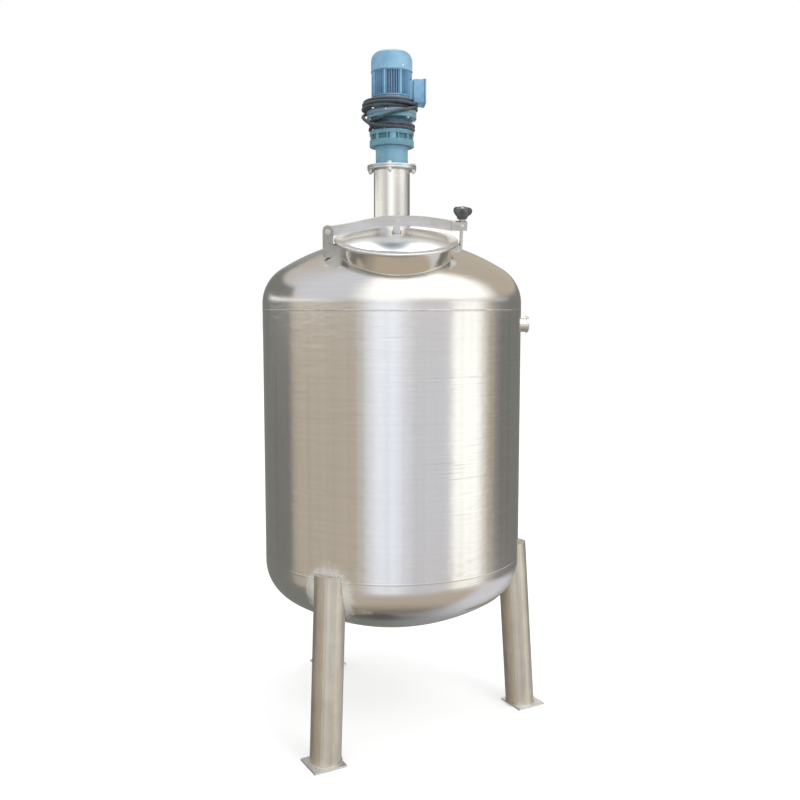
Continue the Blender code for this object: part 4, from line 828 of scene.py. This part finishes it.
def manhole_pieces():
    """Neck, trimmed flush with the inside of the head, with its seal and lid."""
    inner = NECK_RADIUS - PIPE_WALL
    lip_top, lip_low = -0.0066, -0.0096
    outline = [(NECK_RADIUS, None), (NECK_RADIUS, lip_low - 0.004), (NECK_RADIUS + 0.0012, lip_low - 0.0012),
               (NECK_RADIUS + 0.004, lip_low), (NECK_LIP_RADIUS - 0.0008, lip_low),
               (NECK_LIP_RADIUS, (lip_low + lip_top) / 2), (NECK_LIP_RADIUS - 0.0008, lip_top),
               (inner + 0.0012, lip_top), (inner, lip_top - 0.0012), (inner, None)]
    inverse = MANHOLE.inverted()
    rings = []
    for radius, height in outline:
        ring = circle(radius, BELOW_HEAD if height is None else height, NECK_STEPS)
        if height is None:
            ring = [inverse @ meets_tank(MANHOLE @ Vector(p), MANHOLE_UP, 0.25, -TANK_WALL) for p in ring]
        rings.append(ring)
    neck = bmesh.new()
    skin(neck, rings, MANHOLE, closed=True)
    piece("manhole_neck_skin", neck, "neck", ["manhole_neck"])
    inside, outside = inner + 0.001, NECK_LIP_RADIUS - 0.001
    seat = [(inside, -0.0063), (outside, -0.0063), (outside, -0.0003), (inside, -0.0003)]
    piece("manhole_seal", turned(rounded(seat, 0.0022, 4), 144, MANHOLE), "gasket", ["manhole_gasket"], 60)
    piece("manhole_lid_skin", turned(lid_profile(), 192, MANHOLE, closed=False), "lid", ["manhole_lid"], 28,
          "lid")


def depth_frame(place, depth=0.0, angle=pi / 2):
    """Frame at a place on the manhole that points along its depth."""
    return MANHOLE @ shift(place[0], depth, place[1]) @ turn(angle, "X")


def depth_pin(place, half, radius, head=0.0):
    """Round pin along the manhole's depth, with chamfered ends and, if asked, a head at the front."""
    chamfer = 0.0006
    points = [(radius - chamfer, -half), (radius, -half + chamfer)]
    if head:
        points += [(radius, half), (head, half), (head, half + 0.0016), (head - 0.0008, half + 0.0024)]
    else:
        points += [(radius, half - chamfer), (radius - chamfer, half)]
    return solid_turned(points, 32, depth_frame(place))


def fasteners(name, made_by, frames, *sizes, smooth=40, surface="bolt", body="tank"):
    mesh = bmesh.new()
    for matrix in frames:
        made_by(mesh, matrix, *sizes)
    piece(name, mesh, surface, smooth=smooth, body=body)


def hinge_pieces():
    """Pins, washers and screws of the hinge, the clamp and the crossbar."""
    piece("hinge_pin_turned", depth_pin(HINGE_PLACE, 0.0142, 0.005), "bolt", ["hinge_pin"])
    washer = [(0.0052, -0.0005), (0.0098, -0.0005), (0.0098, 0.0005), (0.0052, 0.0005)]
    washers = [turned(washer, 32, depth_frame(HINGE_PLACE, side * 0.0128)) for side in (-1, 1)]
    piece("hinge_washers", merged(*washers), "bolt")
    piece("lug_pin_turned", depth_pin(LUG_PLACE, 0.0152, 0.004), "bolt", ["lug_pin"])
    piece("clevis_pin", depth_pin(CLEVIS_PLACE, 0.0128, 0.0035, head=0.0058), "bolt", body="lid")
    sides = [depth_frame(CLAMP_PLACE, side * 0.015, -side * pi / 2) for side in (-1, 1)]
    fasteners("fork_screws", round_screw, sides, 0.0062, 0.0026, body="lid")
    fillets = [[MANHOLE @ Vector((0.1962, side * 0.0052, rise / 1000)) for rise in range(41, 69, 2)]
               for side in (-1, 1)]
    weld("fork_weld", fillets, 0.0018, closed=False, body="lid")


def knob_piece():
    """Star knob: five round lobes, a waist, a dished top and a steel insert."""
    # Share of the height, share of the radius and depth of the lobes
    steps = [(0.0, 0.46, 0.0), (0.02, 0.49, 0.0), (0.12, 0.53, 0.1), (0.22, 0.62, 0.45), (0.34, 0.8, 0.85),
             (0.46, 0.94, 1.0), (0.56, 0.995, 1.0), (0.66, 1.0, 1.0), (0.78, 0.99, 1.0), (0.87, 0.94, 1.0),
             (0.94, 0.86, 1.0), (0.985, 0.75, 0.95), (1.0, 0.62, 0.8), (0.992, 0.46, 0.4),
             (0.965, 0.4, 0.1), (0.955, 0.2, 0.0), (0.955, 0.05, 0.0)]
    radius, height = 0.0355, 0.04
    matrix = MANHOLE @ shift(CLAMP_PLACE[0], 0, CLAMP_PLACE[1] + 0.0245)
    mesh = bmesh.new()
    stack(mesh, matrix, [(radius * size, height * rise, lambda angle, r, lobed=lobed:
                          r * (1 - 0.27 * lobed * (0.5 - 0.5 * cos(5 * angle)) ** 0.8))
                         for rise, size, lobed in steps], 100)
    piece("star_knob_moulded", mesh, "knob", ["star_knob"], 60, "knob")
    insert = solid_turned([(0.0062, 0.0), (0.0062, 0.0006), (0.0054, 0.001)], 32,
                          matrix @ shift(0, 0, height * 0.955))
    collar = solid_turned([(0.0115, -0.0048), (0.0125, -0.004), (0.0125, -0.0006), (0.0118, 0.0002)], 32,
                          matrix)
    piece("knob_insert", merged(insert, collar), "bolt", body="knob")


# Drive


def radial_fins(core, degrees, tip, thick, low, high, taper, drop=0.0):
    """Straight fins round a core at the angles given; with a drop, their ends are chamfered."""
    half, narrow = thick / 2, thick / 2 * taper
    nose = [(core - 0.002, half), (tip - narrow, narrow), (tip - narrow * 0.3, narrow * 0.75), (tip, 0.0),
            (tip - narrow * 0.3, -narrow * 0.75), (tip - narrow, -narrow), (core - 0.002, -half)]
    ends = [(low, drop), (low + drop, 0.0), (high - drop, 0.0), (high, drop)]
    rings = [[(r - cutback if r > core else r, y, z) for r, y in nose]
             for z, cutback in (ends if drop else (ends[0], ends[-1]))]
    mesh = bmesh.new()
    for angle in degrees:
        skin(mesh, rings, TANK @ turn(radians(angle)))
    return mesh


def even_angles(count):
    """Angles round the drive, the first half a step on from the box."""
    return [360 * (k + 0.5) / count for k in range(count)]


def stand_pieces():
    inner = STAND_RADIUS - PIPE_WALL
    low, high = levels("stand_tube")
    tube = [(inner, low + 0.0008), (STAND_RADIUS, low), (STAND_RADIUS, high), (inner, high)]
    piece("stand_tube_skin", turned(tube, 96), "tube", ["stand_tube"])
    for name, bore in (("stand_flange", inner), ("drive_flange", SHAFT_BORE)):
        low, high = levels(name)
        outline = rounded([(bore, low), (0.0946, low), (0.0946, high), (bore, high)], 0.0011, 2)
        piece(name + "_turned", turned(outline, 96), "flange", [name], 50)
    under = levels("stand_flange")[0]
    bolts = bmesh.new()
    for k in range(4):
        degrees = 260.5 + 90 * k
        hex_head(bolts, upright(degrees, 0.0829, high, 0.3 * k), 0.016, 0.0064, 0.0014)
        hex_head(bolts, upright(degrees, 0.0829, under, 0.5 * k, down=True), 0.016, 0.008, 0.0014, 0.004,
                 0.0049)
    piece("stand_flange_bolts", bolts, "bolt", smooth=30)
    weld("stand_flange_weld", [tank_ring(0.0712, under - 0.0012, 96)], 0.002)

    low, high = levels("adaptor_drum")
    drum = [(SHAFT_BORE, low), (0.066, low), (0.0664, low + 0.001), (0.0664, low + 0.005),
            (0.0655, low + 0.006), (0.0625, low + 0.0085), (0.062, low + 0.012), (0.062, high - 0.01),
            (0.0628, high - 0.006), (0.065, high - 0.003), (0.065, high), (SHAFT_BORE, high)]
    piece("adaptor_drum_cast", turned(drum, 96), "drum_teal", ["adaptor_drum"], 40)


def gearbox_pieces():
    # Base ring, ribbed middle and upper rim
    low, high = levels("reducer_housing")
    base, ring = low + 0.0237, high - 0.016
    body = [(0.0, low), (0.0855, low), (0.0855, base), (0.0765, base + 0.0006), (0.076, ring),
            (0.0855, ring + 0.0004), (0.0855, high), (0.0, high)]
    twelve = even_angles(12)
    ribs = radial_fins(0.0765, twelve, 0.0846, 0.0074, base - 0.001, ring + 0.001, 0.85)
    pads = radial_fins(0.0765, twelve[1::3], 0.0852, 0.013, base - 0.001, ring + 0.001, 0.85)
    lug = radial_fins(0.0765, [270], 0.0856, 0.032, base - 0.012, ring + 0.001, 0.94, 0.0008)
    # The lug takes the lighter drum enamel: a painted highlight on the housing's paint
    piece("reducer_lug", lug, "drum_teal", smooth=40)
    piece("reducer_cast", merged(cast_solid(body, 0.0016), ribs, pads), "teal", ["reducer_housing"], 40)
    fasteners("reducer_screws", hex_head, [upright(degrees, 0.079, high) for degrees in even_angles(8)],
              0.008, 0.0038, 0.0008, smooth=30)
    fasteners("oil_plug", hex_head, [outward(-28, 0.0853, high - 0.008)], 0.0095, 0.003, 0.0008,
              smooth=30, surface="brass")

    # Flared neck, the two joint flanges and their bolts
    low, high = levels("reducer_neck")
    joint = high - JOINT_FLANGE
    neck = [(0.0, low), (0.069, low), (0.068, low + 0.004), (0.068, joint - 0.008), (0.073, joint),
            (JOINT_RADIUS, joint), (JOINT_RADIUS, high), (0.0, high)]
    piece("reducer_neck_cast", cast_solid(neck, 0.0016), "teal", ["reducer_neck"], 40)
    low, high = levels("motor_end_shield")
    joint_top = low + JOINT_FLANGE
    shield = [(0.0, low), (JOINT_RADIUS, low), (JOINT_RADIUS, joint_top), (0.072, joint_top),
              (0.0685, joint_top + 0.003), (0.0685, high - 0.019), (0.0745, high - 0.012), (0.0745, high),
              (0.0, high)]
    webs = radial_fins(0.0685, even_angles(8), 0.074, 0.005, joint_top, high - 0.012, 0.8)
    piece("end_shield_cast", merged(cast_solid(shield, 0.0014), webs), "shield", ["motor_end_shield"], 40)
    bolts = bmesh.new()
    for degrees in (253, 313, 13, 73, 133, 193):
        hex_head(bolts, upright(degrees, 0.0835, joint, degrees, down=True), 0.0105, 0.0042, 0.0008)
        round_screw(bolts, outward(degrees, JOINT_RADIUS - 0.0004, joint_top - 0.006), 0.0042, 0.0018)
    piece("joint_bolts", bolts, "bolt", smooth=30)


def motor_pieces():
    low, high = levels("motor_body")
    core = [(0.0762, low), (0.0766, low + 0.0006), (0.0766, low + 0.0046), (0.065, low + 0.0056),
            (0.0645, low + 0.008), (0.0645, high - 0.006), (0.07, high - 0.003), (0.0752, high - 0.0022),
            (0.0756, high)]
    box_top = levels("terminal_box_cover")[1] + 0.002
    wide = [24, 66, 114, 156, 204, 246, 294, 336]
    thin = even_angles(52)
    long = [d for d in thin if min(d, 360 - d) > 27 and min(abs(d - w) for w in wide) > 6.5]
    short = [d for d in thin if min(d, 360 - d) < 27]
    wide_ribs = radial_fins(0.0645, [d for d in wide if min(d, 360 - d) > 33], 0.0786, 0.0122, low + 0.004,
                            high - 0.001, 0.85, 0.0012)
    piece("motor_wide_ribs", wide_ribs, "blue", smooth=40)
    fins = [radial_fins(0.0645, places, 0.0778, 0.0027, start, high - 0.0015, 0.7, 0.0012)
            for places, start in ((long, low + 0.004), (short, box_top))]
    piece("motor_body_cast", merged(solid_turned(core, CAST_STEPS), *fins), "fin_blue", ["motor_body"], 40)

    low, high = levels("fan_cowl")
    cowl = [(0.0762, low), (0.08, low), (0.08, low + 0.004), (0.0793, low + 0.0046),
            (0.0792, low + 0.007)]
    for angle in (pi / 2 * part / 14 for part in range(15)):
        cowl.append((0.0792 - 0.03 * (1 - cos(angle)), high - 0.036 * (1 - sin(angle))))
    cowl += [(0.0465, high), (0.0455, high - 0.0006)]
    piece("fan_cowl_pressed", solid_turned(cowl, CAST_STEPS), "blue", ["fan_cowl"], 35)
    # Guard over the fan's inlet: rings and spokes of wire, with a dark disc under them, which is painted
    # shade in the inlet
    guard = bmesh.new()
    for radius in (0.012, 0.02, 0.028, 0.036, 0.043):
        ring = tank_ring(radius, high - 0.0011, 64)
        tube_along(guard, ring + ring[:1], 0.001)
    centre = Vector((AXIS_X, 0, high - 0.0017))
    for degrees in even_angles(8):
        way = way_out(degrees)
        tube_along(guard, [centre + way * 0.006, centre + way * 0.0445], 0.0009)
    hub = solid_turned([(0.0085, high - 0.0024), (0.0085, high - 0.0008), (0.007, high - 0.0002)], 32)
    piece("cowl_guard", merged(guard, hub), "blue", smooth=50)
    # Painted shade: a thin dark disc stands for the shadowed inlet under the guard
    piece("cowl_inlet", solid_turned([(0.0445, high - 0.0007), (0.044, high - 0.0005)], 64), "gland")
    fasteners("cowl_screws", round_screw,
              [outward(degrees, 0.079, low + 0.012) for degrees in (-61, 29, 119, 209)], 0.0036, 0.001)


def box_pieces():
    box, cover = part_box("terminal_box"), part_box("terminal_box_cover")
    low, high = box
    end, start = high.x, AXIS_X + 0.08
    saddle = box_mesh((low.x + 0.006, -0.0335, low.z + 0.012), (start + 0.004, 0.0335, high.z - 0.003), 0.002)
    case, lip = plate(start, end, box, 0.0, 0.0045), plate(end - 0.0045, end, box, 0.0012, 0.0016, 2)
    # The box takes the darker copy of the motor's blue, which is painted shade
    piece("terminal_box_cast", merged(case, saddle, lip), "fin_blue", ["terminal_box"], 40)
    piece("terminal_box_seal", plate(end - 0.0001, end + 0.001, box, 0.0006, 0.0003, 1), "gland", smooth=40)
    low, high = cover
    face = high.x - 0.0012
    lid = plate(end + 0.0008, face, cover, 0.0, 0.0026, 4)
    raised = plate(face - 0.002, high.x, cover, -0.014, 0.0009, 2)
    piece("terminal_box_lid", merged(lid, raised), "fin_blue", ["terminal_box_cover"], 40)
    corners = [pointing(Vector((face - 0.0001, y, z)), (1, 0, 0))
               for y in (low.y + 0.0075, high.y - 0.0075) for z in (low.z + 0.0075, high.z - 0.0075)]
    fasteners("terminal_box_screws", round_screw, corners, 0.0034, 0.0012)

    # Gland: hexagon body, fluted cap and a tapered sleeve round the cable
    low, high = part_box("cable_gland")
    centre = (low + high) / 2
    matrix = pointing(Vector((centre.x, low.y, centre.z)), (0, 1, 0))
    length = high.y - low.y

    def fluted(angle, r):
        return r * (1 - 0.05 * (0.5 + 0.5 * cos(16 * angle)))
    mesh = bmesh.new()
    stack(mesh, matrix, [(0.0092, 0.0), (0.0092, 0.003)], 48)
    stack(mesh, matrix, [(0.0098, 0.003, hexagon), (0.0098, 0.0078, hexagon),
                         (0.0098, 0.0082, lambda angle, r: min(hexagon(angle, r), r * 1.08))], 48)
    stack(mesh, matrix, [(0.01, 0.0084), (0.0112, 0.009, fluted), (0.0112, 0.0142, fluted),
                         (0.01, length - 0.003), (0.008, length - 0.0008), (0.007, length)], 96)
    piece("cable_gland_nut", mesh, "gland", ["cable_gland"], 35)


# Cable: places as (degrees, radius, height) round the drive, or as (degrees, height) in its first bend
FIRST_BEND = [(20, 2.421), (40, 2.42), (60, 2.418), (80, 2.4152)]
BEND_RADIUS = 0.055
DOWN_THE_BACK = [
    (81, 0.1275, 2.4112), (94, 0.12, 2.4078), (107, 0.1167, 2.404), (121, 0.1212, 2.3934),
    (136.5, 0.1232, 2.3809), (151, 0.1214, 2.3683), (165.5, 0.114, 2.3559), (180, 0.1052, 2.343),
    (195, 0.1, 2.3299), (210, 0.0978, 2.3172), (226, 0.0958, 2.3085), (244, 0.0903, 2.3045),
    (262, 0.0848, 2.303),
]
LOWER_RADIUS = 0.0835
LOWER_TURNS = (2.3028, 2.3158, 2.3293)
# Here radius and height are measured from the joint flanges' rim and top
UP_THE_FLANGES = [
    (195.2, -0.0111, -0.0426), (214.4, -0.0066, -0.0423), (231, 0.0003, -0.0409), (245.6, 0.0066, -0.0359),
    (259.9, 0.0078, -0.0279), (275.6, 0.0079, -0.0189), (290.8, 0.0077, -0.0109), (303.1, 0.0076, -0.0069),
    (315, 0.0072, 0.0006), (330, 0.0035, 0.0061),
]
OUTSIDE, INSIDE, OVER_BOTH = 0.1025, 0.0895, 0.096
UPPER_SHIFT = -0.008


def around_drive(degrees, radius, height, sideways=0.0):
    angle = radians(degrees)
    return Vector((AXIS_X + sideways + radius * cos(angle), radius * sin(angle), height))


def eased(start, end, share):
    share = min(max(share, 0.0), 1.0)
    return start + (end - start) * (1 - cos(pi * share)) / 2


def cable_places():
    """The cable's route, anticlockwise all the way, from the gland to its bare end on the upper coil."""
    joint_top = levels("motor_end_shield")[1] - 0.0496
    gland = middle("cable_gland")
    start = Vector((gland.x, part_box("cable_gland")[1].y, gland.z))
    places = [start + Vector((0, 0.0065 * k, 0)) for k in range(3)]
    bend_x, bend_y = start.x - BEND_RADIUS, start.y + 0.013
    for degrees, height in FIRST_BEND:
        angle = radians(degrees)
        places.append(Vector((bend_x + BEND_RADIUS * cos(angle), bend_y + BEND_RADIUS * sin(angle), height)))
    places += [around_drive(*place) for place in DOWN_THE_BACK]
    # Two turns on the gearbox, one on the other
    first, second, leaving = LOWER_TURNS
    for degrees in range(280, 905, 9):
        height = eased(first, second, (degrees - 540) / 42)
        if degrees > 858:
            height = eased(second, leaving, (degrees - 858) / 42)
        places.append(around_drive(degrees, LOWER_RADIUS, height))
    places += [around_drive(degrees, JOINT_RADIUS + out, joint_top + rise)
               for degrees, out, rise in UP_THE_FLANGES]
    # Four turns on the motor flange: outside, inside, above inside, above outside, over both
    for degrees in range(345, 1767, 9):
        radius, height = OUTSIDE, joint_top + 0.0068
        if degrees > 610:
            radius = eased(OUTSIDE, INSIDE, (degrees - 610) / 53)
        if degrees > 917:
            height += eased(0.0, CABLE_DIAMETER, (degrees - 917) / 53)
        if degrees > 1224:
            radius = eased(INSIDE, OUTSIDE, (degrees - 1224) / 53)
        if degrees > 1570:
            radius = eased(OUTSIDE, OVER_BOTH, (degrees - 1570) / 55)
            height += eased(0.0, 0.0115, (degrees - 1570) / 50)
        places.append(around_drive(degrees, radius, height, UPPER_SHIFT))
    return places


def smooth_curve(places, spacing):
    """Evenly spaced points on a smooth curve through the places."""
    ends = [2 * places[0] - places[1]] + places + [2 * places[-1] - places[-2]]
    fine = []
    for first, second, third, fourth in zip(ends, ends[1:], ends[2:], ends[3:]):
        for t in (step / 10 for step in range(10)):
            fine.append(0.5 * (2 * second + (third - first) * t
                               + (2 * first - 5 * second + 4 * third - fourth) * t ** 2
                               + (3 * second - first - 3 * third + fourth) * t ** 3))
    return evenly(fine + [places[-1]], spacing)


def add_cable():
    route = smooth_curve(cable_places(), 0.008)
    curve = bpy.data.curves.new("supply_cable", "CURVE")
    curve.dimensions = "3D"
    curve.bevel_depth = CABLE_DIAMETER / 2
    curve.bevel_resolution = 4
    curve.use_fill_caps = True
    spline = curve.splines.new("POLY")
    spline.points.add(len(route) - 1)
    for point, place in zip(spline.points, route):
        point.co = (*place, 1.0)
    spline.use_smooth = True
    cable = new_object("supply_cable", curve)
    dress(cable, "cable", "tank", ["cable_lead", "cable_crossing", "cable_coil_upper", "cable_coil_lower"])
    length = sum((after - before).length for before, after in zip(route, route[1:]))


# Studio

# What the panels show in steel, as plain screen colours
SHADE = (115, 115, 110)
TAN = (175, 165, 150)
GREY = (200, 200, 205)
COOL = (230, 235, 245)
LIGHT = (265, 265, 260)
HAZE = (145, 145, 145)

# The panels round the tank, each from its edge on: degrees from the camera towards +X
SIDE_BANDS = [(-180, SHADE), (-105, SHADE), (-95, TAN), (-35, TAN), (-15, COOL), (0, COOL), (15, GREY),
              (45, GREY), (55, LIGHT), (75, LIGHT), (90, TAN), (105, SHADE)]
TUBE_BANDS = [(-180, SHADE), (-145, SHADE), (-130, LIGHT), (-75, LIGHT), (-40, GREY), (-10, LIGHT),
              (0, LIGHT), (30, TAN), (105, GREY), (125, SHADE)]
SKY_BANDS = [(-180, TAN), (-90, GREY), (-40, GREY), (-20, LIGHT), (85, LIGHT), (105, TAN)]
GROUND_BANDS = [(-180, SHADE), (-95, SHADE), (-50, TAN), (75, TAN), (90, GREY), (125, GREY)]
STEEL = 0.78                 # how bright the steel is, so that the bands show as they are written
BLACK = (0.0, 0.0, 0.0)
WHITE = (1.0, 1.0, 1.0)
BRIGHT = (3.0, 3.0, 3.0)


def shown(*colour):
    """The light that shows in steel as a screen colour."""
    return tuple(c / STEEL for c in linear(*colour))


def band_ramp(around, bands):
    made = new_node(around.socket.id_data, "ValToRGB", (around,))
    points = made.color_ramp.elements
    while len(points) > 1:
        points.remove(points[-1])
    for index, (degrees, colour) in enumerate(bands + [(180, bands[0][1])]):
        share = (degrees + 180) / 360
        point = points[0] if index == 0 else points.new(share)
        point.position = share
        point.color = (*shown(*colour), 1.0)
    return Value(made.outputs[0])


def add_world():
    """White to the camera; soft upright panels of light for steel; a plain even light for paint."""
    studio = bpy.data.worlds.new("studio")
    bpy.context.scene.world = studio
    studio.use_nodes = True
    tree = studio.node_tree
    x, y, z = Value(new_node(tree, "TexCoord").outputs["Generated"]).split()
    # Share of a full turn from the back (0.5 is the front), and degrees over the horizon
    around = (x.math("ARCTAN2", y * -1.0) + pi).math("DIVIDE", 2 * pi)
    lift = z.math("ARCSINE") * (180 / pi)
    panels = band_ramp(around, SIDE_BANDS)
    streaks = around.into("CombineXYZ", (around * 70.0, 0.0, 0.0)).noise()
    panels = (streaks.spread(0.55, 0.35) * 0.14).mix(panels, BLACK)
    tubes = lift.spread(3.2, 4.2) * lift.spread(8.4, 7.6)
    panels = tubes.mix(panels, band_ramp(around, TUBE_BANDS))
    # The sky starts low in front and at the right, higher at the left of the back
    start = around.spread(0.235, 0.205).stretch(8.2, 25.0)
    sky = (lift - start).math("DIVIDE", 3.0, clamp=True).mix(panels, band_ramp(around, SKY_BANDS))
    # At the back: haze over the horizon and one bright panel high up, which whitens the lid
    aside = abs(around - 0.5)
    haze = aside.spread(0.455, 0.475) * lift.spread(31.0, 22.0)
    sky = (haze * 0.9).mix(sky, shown(*HAZE))
    panel = aside.spread(0.43, 0.445) * lift.spread(44.5, 48.0) * lift.spread(82.0, 76.0)
    sky = panel.mix(sky, BRIGHT)
    lower = around.spread(0.59, 0.64).stretch(-21.5, -17.3)
    ground = lift.spread(-46.0, -80.0).stretch(0.0, 0.55).mix(band_ramp(around, GROUND_BANDS), BLACK)
    seen = (lower - lift).math("DIVIDE", 5.0, clamp=True).mix(sky, ground)
    even = lift.spread(-30.0, 60.0).mix((0.7, 0.7, 0.69), (0.92, 0.93, 0.95))
    rays = new_node(tree, "LightPath").outputs
    colour = Value(rays["Is Camera Ray"]).mix(Value(rays["Is Glossy Ray"]).mix(even, seen), WHITE)
    put(tree.nodes["Background"].inputs[0], colour)


def add_floor():
    """Pale floor that keeps the mixer's shadow; steel sees the studio's lower half in its place."""
    mesh = bmesh.new()
    bmesh.ops.create_grid(mesh, x_segments=1, y_segments=1, size=60.0)
    floor = plain_object("floor", mesh)
    surface = Finish("pale_floor", None, Roughness=0.9)
    tree = surface.tree
    cloud = surface.place().noise(1.5, 4.0)
    put(surface.shader["Base Color"], cloud.mix((0.9, 0.9, 0.895), (0.92, 0.92, 0.915)))
    rays = new_node(tree, "LightPath").outputs
    glow = new_node(tree, "Emission", {"Strength": Value(rays["Is Camera Ray"]) * 0.34}).outputs[0]
    lit = new_node(tree, "AddShader", (tree.nodes["Principled BSDF"].outputs[0], glow)).outputs[0]
    clear = new_node(tree, "BsdfTransparent").outputs[0]
    through = new_node(tree, "MixShader", (rays["Is Glossy Ray"], lit, clear)).outputs[0]
    put(tree.nodes["Material Output"].inputs["Surface"], through)
    floor.data.materials.append(surface.material)


def add_lamp(name, place, target, size, power):
    data = bpy.data.lights.new(name, "AREA")
    data.size = size
    data.energy = power
    lamp = new_object(name, data)
    lamp.location = place
    lamp.rotation_euler = (Vector(target) - Vector(place)).to_track_quat("-Z", "Y").to_euler()
    lamp.visible_glossy = False
    lamp.visible_camera = False


NODE_FINISH = {
    "leg": ("leg_1", "leg_2", "leg_3", "leg_cap_1", "leg_cap_2", "leg_cap_3"),
    "plate": ("foot_plate_1", "foot_plate_2", "foot_plate_3"),
    "bracket": ("hinge_bracket",),
    "bar": ("clamp_lug", "crossbar", "crossbar_fork", "lid_clevis"),
    "bolt": ("bolt_trunnion", "hook_bolt", "agitator_impeller"),
    "tube": ("agitator_shaft",),
}

add_camera()
FINISHES = {short: make(*rest) for short, (make, *rest) in FINISH_TABLE.items()}
add_cable()
for finish_name, node_names in NODE_FINISH.items():
    for node_name in node_names:
        NODES[node_name].data.materials.clear()
        NODES[node_name].data.materials.append(FINISHES[finish_name].material)
tank_pieces()
weld_pieces()
manhole_pieces()
hinge_pieces()
knob_piece()
stand_pieces()
gearbox_pieces()
motor_pieces()
box_pieces()
add_world()
add_floor()
add_lamp("key_lamp", (2.6, -3.4, 4.2), (0.0, 0.0, 1.3), 2.2, 60.0)
